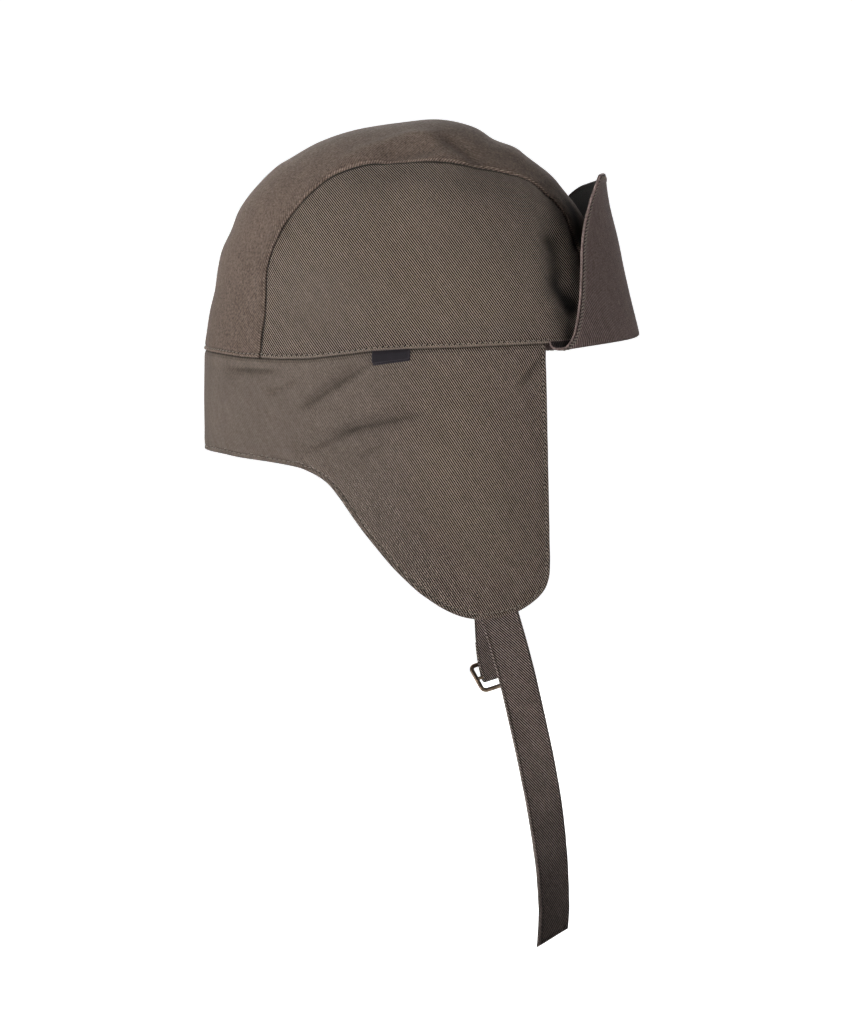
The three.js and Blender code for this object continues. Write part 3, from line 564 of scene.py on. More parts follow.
def new_group(name, kind, inputs, outputs):
    """A group of nodes, the terms of its inputs in order, and its output node."""
    tree = bpy.data.node_groups.new(name, kind)
    for in_out, rows in (("INPUT", inputs), ("OUTPUT", outputs)):
        for label, socket_kind, start in rows:
            socket = tree.interface.new_socket(label, in_out=in_out, socket_type="NodeSocket" + socket_kind)
            if start is not None:
                socket.default_value = start
    given = tree.nodes.new("NodeGroupInput").outputs
    return tree, [Term(given[k]) for k in range(len(inputs))], tree.nodes.new("NodeGroupOutput")


def floats(rows):
    """Sockets of a group that hold one number each."""
    return [(label, "Float", start) for label, start in rows.items()]


# ---- materials


def make_twill_group():
    """Diagonal ribs of twill in the plane of the cloth, each made of short yarn floats."""
    sizes = floats({"Rib Pitch": 0.00095, "Rib Angle": 0.94, "Waver": 0.0002})
    tree, given, out = new_group("twill_weave", "ShaderNodeTree", [("Cloth", "Vector", None)] + sizes,
                                 floats({"Ribs": 0.0, "Yarn": 0.0}))
    cloth_at, pitch, angle, waver = given
    parts = add_node(tree, "ShaderNodeSeparateXYZ", [cloth_at]).outputs
    x, y = Term(parts[0]), Term(parts[1])
    sine, cosine = angle.maths("SINE"), angle.maths("COSINE")
    across = (x * sine + y * cosine + (noise(cloth_at, 160.0, 1.0) - 0.5) * waver) / pitch
    along = (x * cosine - y * sine) / pitch
    ribs = fade((across * (2 * math.pi)).maths("SINE"), 0.0, 0.7, 0.0, 1.0)
    stretched = output(tree, "ShaderNodeCombineXYZ", [across * 0.3, along * 0.06, 0.0])
    fill(out, {"Ribs": ribs, "Yarn": noise(stretched, 1.0, 2.0, 0.6)})
    return tree


# How twill is worn and where light and shade are painted on it, unless a material says otherwise
WEAR_AND_SHADE = {"Edge Width": 0.0014, "Paler Edge": 0.2, "Stitch Line": 0.0024, "Darker Line": 0.1,
        "Line Width": 0.0005, "Clouding": 0.1, "Grain": 0.1}


def make_wear_and_shade_group():
    """How cloth has been handled, and where light and shade are painted on it: soft cloudy tone, a paler rolled
    edge that is partly wear and partly painted highlight, a darker line of painted shade where it is sewn, and
    painted shade in creases and seams.
    """
    sizes = floats({"From Edge": 0.01, "Groove": 0.0, **WEAR_AND_SHADE})
    tree, given, out = new_group("cloth_wear", "ShaderNodeTree", [("Place", "Vector", None)] + sizes,
                                 floats({"Tone": 1.0, "Fuzz": 0.0, "Rim": 0.0}))
    place, from_edge, groove, edge_width, paler, stitch, darker, line_width, clouding, grain = given
    # Rim: paler edge, partly wear and partly painted highlight. Line: painted shade along the stitches. The shade
    # input: painted shade of creases, seams and overlaps
    rim = fade(from_edge, edge_width * 0.6, edge_width, 1.0, 0.0)
    line = fade((from_edge - stitch).maths("ABSOLUTE"), line_width * 0.4, line_width, 1.0, 0.0)
    tone = (noise(place, 26.0, 3.0, 0.55) - 0.5) * (clouding * 2.0) + 1.0
    tone = (noise(place, 900.0, 2.0, 0.7) - 0.5) * (grain * 2.0) + tone
    tone = tone * (rim * paler + 1.0) * (1.0 - line * darker) * (1.0 - groove)
    fill(out, {"Tone": tone, "Rim": rim, "Fuzz": noise(place, 2600.0, 2.0, 0.7)})
    return tree


twill_weave = make_twill_group()
cloth_wear = make_wear_and_shade_group()


def new_material(name):
    material = bpy.data.materials.new(name)
    material.use_nodes = True
    tree = material.node_tree
    tree.nodes.clear()
    surface = tree.nodes.new("ShaderNodeBsdfPrincipled")
    fill(tree.nodes.new("ShaderNodeOutputMaterial"), {"Surface": Term(surface.outputs[0])})
    return material, tree, surface


def add_relief(surface, strength, distance, height):
    values = {"Strength": strength, "Distance": distance, "Height": height}
    fill(surface, {"Normal": output(surface.id_data, "ShaderNodeBump", values)})


# Share of a rib's pitch that its pale top takes up, how high the ribs stand and how high the fuzz on them, how far
# from a seam its shadow is worked out in millimetres, and how far each rib shifts the shadow's edge
RIB_SHARE = 0.375
RIB_HEIGHT = 0.00022
FUZZ_SHARE = 0.25
SEAM_REACH = 2.0
SHADOW_SHIFT = 0.0004


def twill(name, colour, contrast, pitch=0.00095, angle=54.0, rim_ribs=-0.8, sheen=0.12, **wear_and_shade):
    """Cotton twill: colour is its middle tone, contrast how far its ribs go to either side."""
    material, tree, surface = new_material(name)
    weave = add_node(tree, "ShaderNodeGroup", node_tree=twill_weave)
    fill(weave, {"Cloth": cloth_on(tree), "Rib Pitch": pitch, "Rib Angle": math.radians(angle)})
    ribs, yarn = (Term(socket) for socket in weave.outputs)
    wear = add_node(tree, "ShaderNodeGroup", node_tree=cloth_wear)
    # The wear group darkens the cloth by each vertex's painted shade value
    fill(wear, {"Place": place_on(tree), "From Edge": value_on(tree, "from_edge"),
                "Groove": value_on(tree, "groove"), **WEAR_AND_SHADE})
    fill(wear, {key.replace("_", " ").title(): value for key, value in wear_and_shade.items()})
    tone, fuzz, rim = (Term(socket) for socket in wear.outputs)

    low = [c * (1 - contrast) for c in colour] + [1]
    high = [c * (1 + contrast * (1 - RIB_SHARE) / RIB_SHARE) for c in colour] + [1]
    off_middle = ribs - RIB_SHARE
    share = (rim * rim_ribs + 1.0) * (1.0 - value_on(tree, "softened"))
    ribbed = mix_colours(tree, off_middle * share + RIB_SHARE, low, high)
    stepped = off_middle * SHADOW_SHIFT + value_on(tree, "near_seam")
    shadow = fade(stepped, SEAM_REACH * MM - 0.0015, SEAM_REACH * MM - 0.00095, 1.0, 0.05)
    tone = tone * (yarn * 0.5 + 0.75) * shadow
    toned = output(tree, "ShaderNodeCombineColor", [tone, tone, tone])
    add_relief(surface, 1.0, RIB_HEIGHT, fuzz * FUZZ_SHARE + ribs)
    fill(surface, {"Base Color": mix_colours(tree, 1.0, ribbed, toned, "MULTIPLY"),
                   "Roughness": ribs * -0.12 + 0.95, "Specular IOR Level": 0.25, "Sheen Weight": sheen,
                   "Sheen Roughness": 0.5, "Sheen Tint": (0.75, 0.68, 0.6, 1)})
    return material


# Paler edges are partly wear and partly painted highlight; darker lines are painted shade along the stitches
crown_twill = twill("crown_twill", (0.144, 0.104, 0.083), 0.35, rim_ribs=2.2, paler_edge=0.5,
                    darker_line=0.15, clouding=0.13, grain=1.1)
side_twill = twill("side_twill", (0.144, 0.113, 0.093), 1.0, pitch=0.00097, paler_edge=0.4,
                   darker_line=0.2, grain=0.45)
band_twill = twill("band_twill", (0.144, 0.112, 0.092), 1.0, pitch=0.00097, angle=56.5, paler_edge=0.1,
                   darker_line=0.2, edge_width=0.001, grain=0.6)
flap_twill = twill("flap_twill", (0.127, 0.092, 0.084), 0.4, sheen=0.05, paler_edge=0.4,
                   edge_width=0.0006, stitch_line=0.00095, darker_line=0.75, line_width=0.0006, grain=0.8)
strap_twill = twill("strap_twill", (0.138, 0.107, 0.095), 1.0, angle=57.0, paler_edge=0.7,
                    edge_width=0.0016, stitch_line=0.0021, darker_line=0.5, clouding=0.75, grain=0.8)


def make_thread(name, colour):
    """Twisted sewing thread."""
    material, tree, surface = new_material(name)
    twist = noise(place_on(tree), 3500.0, 1.0)
    low, high = [c * 0.7 for c in colour] + [1], [c * 1.3 for c in colour] + [1]
    fill(surface, {"Base Color": mix_colours(tree, twist, low, high), "Roughness": 0.7})
    add_relief(surface, 0.6, 0.00005, twist)
    return material


olive_thread = make_thread("olive_thread", (0.21, 0.17, 0.14))
# Dark beads between the stitches: painted shade where the needle holes sink into the cloth
needle_hole = make_thread("needle_hole", (0.012, 0.010, 0.009))


def make_label_weave():
    """Black woven satin with fine ribs across it."""
    material, tree, surface = new_material("label_weave")
    weave = add_node(tree, "ShaderNodeGroup", node_tree=twill_weave)
    fill(weave, {"Cloth": cloth_on(tree), "Rib Pitch": 0.0003, "Rib Angle": 0.0, "Waver": 0.00002})
    ribs = Term(weave.outputs["Ribs"])
    # Painted highlight along the label's edges
    painted_edge_highlight = fade(value_on(tree, "from_edge"), 0.0002, 0.0006, 1.2, 0.0)
    share = ribs * 0.6 + noise(place_on(tree), 300.0) * 0.4 + painted_edge_highlight
    fill(surface, {"Base Color": mix_colours(tree, share, (0.008, 0.007, 0.009, 1), (0.036, 0.030, 0.037, 1)),
                   "Roughness": 0.7, "Specular IOR Level": 0.2})
    add_relief(surface, 0.7, 0.00006, ribs)
    return material


label_weave = make_label_weave()


def make_aged_brass():
    """Brass gone dark brown, bright again where it has rubbed."""
    material, tree, surface = new_material("aged_brass")
    blotch = noise(place_on(tree), 420.0, 4.0, 0.6)
    inside = fade(value_on(tree, "from_edge"), 0.0, 0.0009, 1.0, 0.0)
    rubbed = inside * fade(blotch, 0.35, 0.6, 0.3, 1.0)
    fill(surface, {"Base Color": mix_colours(tree, rubbed, (0.13, 0.092, 0.068, 1), (0.50, 0.36, 0.25, 1)),
                   "Metallic": 1.0, "Roughness": blotch * 0.3 + 0.35})
    add_relief(surface, 0.4, 0.00005, blotch)
    return material


aged_brass = make_aged_brass()

# ---- crown


def dented(points, normals):
    """Presses the dents into the crown on both sides, and gives the shade painted at each point."""
    start, dark = points, 0
    for depth, width, shade, through in CROWN_DENTS:
        line = smooth_line(through, 60)
        for side in (1, -1):
            near = bell(distance_from_line(start * [1, side, 1], line), width)
            points = moved(points, normals, -depth * near)
            dark = dark + shade * near**2
    return points, dark


def behind_flap(x):
    """0 as far back as the flap is sewn to the crown, 1 behind that."""
    return share_of((FLAP_ROOT_X + 0.4 - x) / 2)


def clear_of_flap(x, up):
    """0 where the flap is sewn against the crown's foot, 1 elsewhere."""
    return np.maximum(behind_flap(x), share_of((up - 1.2) / 5))


def base_relief(x, up):
    """Rolled welt at the foot of the crown, and the line pulled in by the stitches over it."""
    return (0.42 * bell(up - 0.8, 0.75) - 0.34 * bell(up - BASE_STITCH, 0.5)) * behind_flap(x)


# Shares of the seam at which a side panel's corners lie
SEAM_LEFT, SEAM_RIGHT = 0.2, 0.82


def on_base(x):
    """x and z on the crown's foot."""
    return np.stack([x, opening_z(x) + FOOT_GAP], -1)


def above_foot(points):
    """Height of each point over the crown's foot."""
    return np.maximum(0, points[..., 2] - opening_z(points[..., 0]) - FOOT_GAP)


def side_panel_flat(u, v):
    """x and z of the side panel: a patch between the opening below and the seam round its other sides."""

    def on_seam(share):
        return seam_point(share, PANEL_TUCK)

    low_left, low_right = on_base(on_seam(0)[0]), on_base(on_seam(1)[0])
    bottom = on_base(low_left[0] + (low_right[0] - low_left[0]) * u)
    top = on_seam(SEAM_LEFT + (SEAM_RIGHT - SEAM_LEFT) * u)
    left, right = on_seam(SEAM_LEFT * v), on_seam(1 - (1 - SEAM_RIGHT) * v)
    top_left, top_right = on_seam(SEAM_LEFT), on_seam(SEAM_RIGHT)
    u, v = u[..., None], v[..., None]
    left, right = np.where(v == 0, low_left, left), np.where(v == 0, low_right, right)
    return ((1 - v) * bottom + v * top + (1 - u) * left + u * right - (1 - u) * (1 - v) * low_left
            - u * (1 - v) * low_right - (1 - u) * v * top_left - u * v * top_right)


# Lengths over the cloth of the side panels, round and up, for each millimetre of x and z
LAY_BACK, LAY_FRONT, LAY_LOW, LAY_HIGH = -82, 84, -8, 94
lay_x, lay_z = np.meshgrid(np.arange(LAY_BACK, LAY_FRONT + 1.0), np.arange(LAY_LOW, LAY_HIGH + 1.0), indexing="ij")
lay_points = np.stack([lay_x, crown_half_width(lay_x, lay_z), lay_z], -1)
lay_round, lay_up = lengths_along(lay_points, 0), lengths_along(lay_points, 1)
lay_round -= lay_round[-LAY_BACK]


def on_lay(table, x, z):
    i = np.clip(x - LAY_BACK, 0, LAY_FRONT - LAY_BACK - 0.01)
    j = np.clip(z - LAY_LOW, 0, LAY_HIGH - LAY_LOW - 0.01)
    a, b = i.astype(int), j.astype(int)
    s, t = i - a, j - b
    return ((1 - s) * (1 - t) * table[a, b] + s * (1 - t) * table[a + 1, b]
            + (1 - s) * t * table[a, b + 1] + s * t * table[a + 1, b + 1])


def make_side_panel(side, name):
    """The crown's cloth on one side, from the foot up to its seam with the middle strip."""
    u, v = np.meshgrid(close_at_ends(SEAM_ROWS, SEAM_ROWS, 150, 150),
                       close_at_ends(WELT_ROWS, SEAM_ROWS, 85, 76), indexing="ij")
    flat = side_panel_flat(u, v)
    x, z = flat[..., 0], flat[..., 1]
    points = np.stack([x, side * crown_half_width(x, z), z], -1)
    normals = crown_normals(points)
    from_seam = distance_from_line(points, seam_in_space(side))
    up = above_foot(points)
    lift = base_relief(x, up) * share_of(from_seam / 3)
    lift -= 0.5 * share_of(1 - from_seam / 3.6) ** 2 + 0.8 * share_of(1 - from_seam / 1.3) ** 1.5
    lift += 0.16 * ripple(x + 0.3 * z, 3) * bell(up - 4, 4.5) * clear_of_flap(x, up)
    lift += 0.22 * ripple(x - z, 11, 1.6) * bell(from_seam - 4, 5)
    middle, dark = dented(moved(points, normals, lift - CROWN_WALL / 2), normals)
    uv = np.stack([-side * on_lay(lay_round, x, z), on_lay(lay_up, x, z)], -1)
    edge = np.minimum(up, np.where((u == 0) | (u == 1) | (v == 1), 0, from_seam + PANEL_TUCK))
    # Painted shade along the seam, at the foot and in the dents
    groove = np.clip(0.2 * bell(from_seam, 2.2) + 0.5 * bell(up, 0.3) + dark, -0.5, 0.95)
    softened = 0.5 * bell(np.hypot(x + 50, z - 20), 20)
    softened += 0.6 * bell(from_seam - 4, 6) * share_of((x + 5) / 20) * share_of((z - 60) / 15)
    # Painted shadow of the seam, reaching wider higher up the crown
    near_seam = np.maximum(0, SEAM_REACH - from_seam * np.clip(1.6 - z / 90, 0.55, 1)) * MM
    return cloth(name, middle, normals, CROWN_WALL, edge, uv, side_twill, groove=groove, softened=softened,
                 wear_and_shade=np.minimum(up, from_seam + 2), near_seam=near_seam)


def base_angle(y, front):
    """Angle at which the crown meets the opening, a given distance from its middle."""
    low = np.full_like(y, math.pi - 0.3 if front else -0.09)
    high = np.full_like(y, math.pi + 0.09 if front else 0.3)
    for _ in range(40):
        middle = (low + high) / 2
        p = crown_point(middle, y)
        above = (p[..., 2] > opening_z(p[..., 0]) + FOOT_GAP) == front
        low, high = np.where(above, middle, low), np.where(above, high, middle)
    return (low + high) / 2


def make_middle_strip():
    """The crown's cloth between its two seams, from the nape over the top to the forehead."""
    seam_length = lengths_along(seam_line)[-1]
    share = close_at_ends(WELT_ROWS, WELT_ROWS, seam_length, 230)
    across = 2 * close_at_ends(SEAM_ROWS, SEAM_ROWS, 120, 84) - 1
    flat = seam_point(share, -STRIP_LAP)
    edge_y = crown_half_width(flat[:, 0], flat[:, 1])
    edge_angle = angle_from_nape(flat[:, 0], flat[:, 1])
    first, last = edge_angle[0], edge_angle[-1]
    t = across[:, None]
    back_middle, front_middle = base_angle(np.zeros(1), False), base_angle(np.zeros(1), True)
    back = base_angle(t * edge_y[0], False) - (back_middle + (first - back_middle) * t * t)
    front = base_angle(t * edge_y[-1], True) - (front_middle + (last - front_middle) * t * t)
    run = (edge_angle - first) / (last - first)
    middle_angle = back_middle + (front_middle - back_middle) * run
    angle = middle_angle + (edge_angle - middle_angle) * t * t + back * (1 - run) ** 4 + front * run**4
    points = crown_point(angle, t * edge_y)
    normals = crown_normals(points)
    from_right, from_left = (distance_from_line(points, seam_in_space(side)) for side in (-1, 1))
    from_seam = np.where(t < 0, from_right, from_left)
    from_seam[0] = from_seam[-1] = 0
    up = above_foot(points)
    clear = clear_of_flap(points[..., 0], up)
    lift = base_relief(points[..., 0], up)
    lift += 0.4 * bell(from_seam - 3.2, 3.0) * clear - 0.2 * bell(from_seam, 0.8)
    lift += 0.28 * ripple(share * seam_length, 7, 1.5) * bell(from_seam - 4, 5) * share_of(up / 8)
    lift += 0.16 * ripple(points[..., 1], 5) * bell(up - 4, 4.5) * clear
    middle, dark = dented(moved(points, normals, lift - CROWN_WALL / 2), normals)
    edge = np.minimum(from_seam, up)
    centre = lengths_along(points[len(across) // 2])
    uv = np.stack([-(t * edge_y) * 1.15 + 0 * angle, centre + 0 * angle], -1)
    # Painted shade low on the back and painted light near the top at the back; painted shade by the seams, at the
    # foot and in the dents
    behind = np.where(points[..., 0] < 0, 0.11 * share_of(1 - up / 60) - 0.08 * bell(up - 82, 20), 0)
    groove = np.clip(0.4 * bell(from_seam, 0.2) + 0.5 * bell(up, 0.3) + dark + behind, -0.5, 0.95)
    return cloth("crown_strip", middle, normals, CROWN_WALL, edge, uv, crown_twill, groove=groove,
                 softened=0.72 - 0.17 * t**8 + 0 * up, wear_and_shade=np.minimum(1.8 * from_seam, up))


crown_strip = make_middle_strip()
side_cloth_right = make_side_panel(-1, "side_cloth_right")
side_cloth_left = make_side_panel(1, "side_cloth_left")

# ---- ear band


def folds_at(x, z):
    """Depth of the band's folds and the shade painted along them, each sharp on its upper side and soft on its
    lower one.
    """
    depth, dark = 0 * x, 0 * x
    for from_x, from_z, to_x, to_z, deep, width, shade in BAND_FOLDS:
        run_x, run_z = to_x - from_x, to_z - from_z
        length = math.hypot(run_x, run_z)
        along = ((x - from_x) * run_x + (z - from_z) * run_z) / length**2
        off = ((x - from_x) * run_z - (z - from_z) * run_x) / length
        ends = np.exp(-(((along - 0.5) / 0.55) ** 4))
        pressed = bell(off, np.where(off < 0, width * 0.55, width)) - 0.3 * bell(off + width * 1.5, width)
        depth += deep * ends * pressed
        dark += shade * ends * bell(off, np.where(off < 0, width * 0.2, width * 0.5))
    return depth, dark


def band_point(length, z, side, lift):
    """Point on the band's outer face, by its length round from the nape and its height."""
    x, y, out_x, out_y = oval_at(length)
    down = np.maximum(0, -z)
    back = np.maximum(0, 1 - length / 70)
    out = lift + BAND_BACK_BULGE * back * np.sin(math.pi * np.minimum(1, down / 50))
    out = out - folds_at(x, z)[0] * np.minimum(1, down / 4)
    draft = 1 - EAR_DRAFT * np.minimum(1, down / EAR_DEPTH) ** 1.6 * np.minimum(1, length / 60)
    return np.stack([x + out * out_x, side * (y + out * out_y) * draft, z + 0 * x], -1)


edge_line = smooth_line([(float(length_at(x)), z) for x, z in BAND_EDGE], 900)
edge_share = lengths_along(edge_line) / lengths_along(edge_line)[-1]
FRONT_LENGTH = float(length_at(BAND_FRONT_X))

# Free edge of one half of the band laid flat, from the nape to the top of the ear flap's front
front_top = np.array([FRONT_LENGTH, float(opening_z(BAND_FRONT_X))])
half_edge = np.vstack([edge_line, np.linspace(edge_line[-1], front_top, 101)[1:]])


def make_band():
    """Neck guard and both ear flaps, one cloth round the opening from one ear's front to the other's."""
    half = close_at_ends([0, 2], SEAM_ROWS, 190, 165)
    share = np.concatenate([-half[::-1], half[1:]])[:, None]
    side = np.where(share < 0, -1, 1) + 0 * share
    share = np.abs(share)
    rim = [0, 0.1, 0.3, 0.55, 0.85, 1.2, 1.6, 1.9, 2.2, 2.5, 2.8, 3.1, 3.6, 4.4]
    top_length = FRONT_LENGTH * share
    top_z = opening_z(x_at(top_length)) + BAND_OVERLAP
    low_length, low_z = np.moveaxis(point_at(share, edge_share, edge_line), -1, 0)
    tall = np.hypot(low_length - top_length, low_z - top_z)
    v = np.vstack([close_at_ends(SEAM_ROWS, rim, one, 66) for one in tall[:, 0]])
    length = top_length + (low_length - top_length) * v
    z = top_z + (low_z - top_z) * v
    border = np.column_stack([half_edge, np.zeros(len(half_edge))])
    from_edge = distance_from_line(np.stack([length, z, 0 * z], -1), border)
    from_edge[:, -1] = from_edge[0] = from_edge[-1] = 0
    from_top = np.maximum(0, v * tall)
    lift = -0.75 * share_of(1 - (from_top - BAND_OVERLAP) / 2.2) ** 1.5
    lift += 0.2 * bell(from_edge - 1.1, 0.8) - 0.4 * bell(from_edge - BAND_STITCH, 0.5)
    lift += 0.2 * ripple(length + 0.5 * z, 23) * bell(from_edge - 4.5, 4.5)
    lift += 0.16 * ripple(length, 29) * bell(from_top - 4, 5)
    points = band_point(length, z, side, lift)
    normals = grid_normals(points)
    if (normals * points)[..., :2].sum() < 0:
        normals = -normals
    middle = points - normals * BAND_WALL / 2
    edge = np.minimum(from_edge, from_top)
    uv = np.stack([-side * length, z], -1)
    # Painted shade in the folds and towards the nape, under the crown's foot and along the free edge
    dark = folds_at(x_at(length), z)[1] + 0.13 * share_of(1 - length / 120)
    groove = 0.8 * bell(np.maximum(0, from_top - BAND_OVERLAP), 0.7) + 0.3 * bell(from_edge, 0.6) + dark
    groove = np.clip(groove, 0, 0.95)
    softened = np.interp(length, *zip(*BAND_SOFTNESS))
    return cloth("band_cloth", middle, normals, BAND_WALL, edge, uv, band_twill, groove=groove, softened=softened)


band_cloth = make_band()


def band_edge_z(x):
    """Height of the ear flap's lower edge at x."""
    line_x = x_at(edge_line[:, 0])
    keep = (edge_line[:, 1] < -100) & (line_x < 60)
    return np.interp(x, line_x[keep], edge_line[keep, 1])


# ---- front flap

flap_table = np.array(FLAP_LEVELS, float)


def flap_level(level):
    """The flap's row of sizes at a level from 0 to 1."""
    place = level * (len(flap_table) - 1)
    i = np.minimum(len(flap_table) - 2, np.floor(place).astype(int))
    s = (place - i)[..., None]
    a, b, c, d = (flap_table[np.clip(i + k, 0, len(flap_table) - 1)] for k in (-1, 0, 1, 2))
    return b + 0.5 * s * (c - a + s * (2 * a - 5 * b + 4 * c - d + s * (3 * (b - c) + d - a)))


def flap_table_face(t, level):
    """The flap's front face as its table has it, by share from the forehead to one end and by level."""
    front_x, front_z, end_x, end_y, end_z, bow, lean = np.moveaxis(flap_level(level), -1, 0)
    curve = np.abs(t) ** bow
    back = np.where(t > 0, lean * t * t, 0)
    return np.stack([front_x - (front_x - end_x) * curve - back, end_y * t,
                     front_z + (end_z - front_z) * np.abs(t) ** 1.7], -1)


def beside_oval(t, end_x, away):
    """Point outside the opening's oval, by share from the forehead to one end."""
    front = oval_length[-1]
    x, y, out_x, out_y = oval_at(front + (length_at(end_x) - front) * np.abs(t))
    return np.stack([x + away * out_x, np.where(t < 0, -1, 1) * (y + away * out_y), 0 * x], -1)


def flap_root(t):
    """Line against the crown's own surface, just over its foot, where the flap is sewn on."""
    root = beside_oval(t, FLAP_ROOT_X, 0)
    root[..., 2] = opening_z(root[..., 0]) + FLAP_ROOT_RISE
    for _ in range(6):
        root[..., :2] /= (crown_level(root) ** (1 / SECTION_POWER))[..., None]
    root[..., :2] += FLAP_ROOT_GAP * unit(crown_normals(root)[..., :2])
    return root


def flap_face(t, level):
    """The flap's front face: its table's, over a foot that follows the opening."""
    face = flap_table_face(t, level)
    foot = beside_oval(t, FLAP_END_X, FLAP_TUCK + 2 * FLAP_FOLD_RADIUS)
    table = flap_table_face(t, 0 * level)
    face[..., :2] += (foot - table)[..., :2] * ((1 - level) ** 4)[..., None]
    rise = FLAP_TOP_RISE * (1 - np.abs(t) ** 3) - FLAP_CORNER_DROP * share_of((t - 0.72) / 0.28) ** 2
    face[..., 2] += rise * share_of(level) ** 3
    return face


def make_flap():
    """Sewn to the crown at the opening, folded at its foot and turned up in front of the crown."""
    rim = [0, 0.1, 0.3, 0.55, 0.85, 1.2, 1.5, 1.8, 2.1, 2.4, 2.8, 3.4, 4.4]
    t = (2 * close_at_ends(rim, rim, 175, 150) - 1)[:, None]
    foot = flap_face(t, 0 * t)
    root = flap_root(t)
    angles = np.radians(np.linspace(-90, 66, 27))[None, :, None]
    rise = np.where(angles < 0, root[..., 2:3] - foot[..., 2:3], FLAP_FOLD_RADIUS)
    fold = root + (foot - root) * (1 + np.sin(angles)) / 2
    fold[..., 2] = (foot[..., 2:3] + rise * (1 - np.cos(angles)))[..., 0]
    up = close_at_ends([0, 1], rim, 62, 50)
    face = flap_face(t, FLAP_FOLD_TOP + (1 - FLAP_FOLD_TOP) * up[None, :])
    outer = np.concatenate([fold, face], axis=1)
    normals = grid_normals(outer)
    lengthwise = lengths_along(outer, 1)
    from_end = np.minimum(distance_from_line(outer, outer[0]), distance_from_line(outer, outer[-1]))
    from_end[0] = from_end[-1] = 0
    from_edge = np.minimum(from_end, lengthwise[:, -1:] - lengthwise)
    lift = 0.12 * bell(from_edge - 2.3, 0.8) - 0.12 * bell(from_edge - 0.95, 0.35)
    lift += 0.12 * ripple(lengthwise, 41) * bell(from_end - 4, 4)
    across = lengths_along(outer[:, 40])
    across = across - across[-1] / 2
    middle = moved(outer, normals, lift - FLAP_WALL / 2)
    uv = np.stack([across[:, None] + 0 * lengthwise, lengthwise], -1)
    edge = np.minimum(from_edge, 2.5 * lengthwise)
    # Painted shade on the inner face, near black away from its edges, and painted light along the raised hem
    shade = 0.94 * share_of(edge / 2)
    hem = bell(from_edge - 2.3, 0.9)
    return cloth("flap_cloth", middle, normals, FLAP_WALL, edge, uv, flap_twill, roll=0.7, inner_groove=shade,
                 groove=-0.5 * hem, softened=-1.4 * hem), outer


flap_cloth, flap_outer = make_flap()

# ---- straps


STRAP_RIM = [0, 0.1, 0.3, 0.6, 0.9, 1.3, 1.6, 1.9, 2.2, 2.6, 3.2]


class StrapGuide:
    """Middle line of a strap, with the directions along, across and out of it at any length."""

    def __init__(self, rows, facing):
        rows = np.array(rows, float)
        self.facing = facing
        self.line = smooth_line(rows[:, :3], 1200)
        self.at = lengths_along(self.line)
        self.total = self.at[-1]
        self.turns = (np.linspace(0, 1, len(rows)), np.radians(rows[:, 3]))

    def frame(self, length):
        """Middle of the strap at a length, and the directions along it, across it and out of its face."""
        length = np.asarray(length, float)
        inside = np.clip(length, 0, self.total)

        here, ahead, behind = (point_at(inside + step, self.at, self.line) for step in (0, 0.2, -0.2))
        along = unit(ahead - behind)
        middle = moved(here, along, length - inside)
        level = unit(np.array([1.0, 0, 0]) - along * along[..., 0:1])
        out = -self.facing * unit(np.cross(level, along))
        turn = np.interp(inside / self.total, *self.turns)[..., None]
        across = level * np.cos(turn) - out * np.sin(turn)
        face = -self.facing * unit(np.cross(across, along))
        return middle, along, across, face

    def rows(self, count):
        """Lines down the strap: shares of its width, the way from its middle, and where each starts."""
        share = (close_at_ends(STRAP_RIM, STRAP_RIM, STRAP_WIDTH, count) - 0.5)[:, None]
        sideways = (STRAP_WIDTH * share)[..., None]
        length = np.zeros_like(share)
        for _ in range(8):
            middle, _, across, _ = self.frame(length)
            at = middle + across * sideways
            length = length + at[..., 2] - (band_edge_z(at[..., 0]) - STRAP_EDGE_DROP)
        return share, sideways, length - STRAP_HIDDEN


def make_long_strap():
    """Hangs free from under the right ear flap, cut aslant at its end."""
    guide = StrapGuide(LONG_STRAP_LINE, 1)
    share, sideways, start = guide.rows(12)
    end = guide.total - LONG_STRAP_END_SLANT * share * 2
    length = start + (end - start) * close_at_ends([0, 1], STRAP_RIM, 158, 200)[None, :]
    middle, _, across, face = guide.frame(length)
    flat = np.stack([STRAP_WIDTH * share + 0 * length, -length], -1)
    edge = np.minimum(STRAP_WIDTH * (0.5 - np.abs(share)), end - length)
    lift = 0.2 * bell(edge - 1.0, 0.7) - 0.3 * bell(edge - 2.0, 0.4) + 0.1 * ripple(length, 53, 1.4)
    points = moved(middle + across * sideways, face, lift)
    edge[:, 0] = 0
    # Painted shade, darker towards the bottom of the strap
    low = share_of(length / 150) ** 1.5
    turned = share_of((length + 5) / 50)
    wear_and_shade = edge + np.where(share > 0, 1.2, 1.6 - 0.9 * turned - 0.4 * share_of((length - 100) / 40))
    return cloth("strap_long", points, face, STRAP_WALL, edge, flat, strap_twill, groove=0.48 * low,
                 wear_and_shade=wear_and_shade, softened=0.6 * low)


short_guide = StrapGuide(SHORT_STRAP_LINE, -1)
loop_radius = BUCKLE_BAR_WIRE / 2 + LOOP_BAR_CLEARANCE + STRAP_WALL / 2
bar_point, bar_along, bar_across, bar_face = short_guide.frame(short_guide.total)
bar_middle = bar_point + bar_face * loop_radius


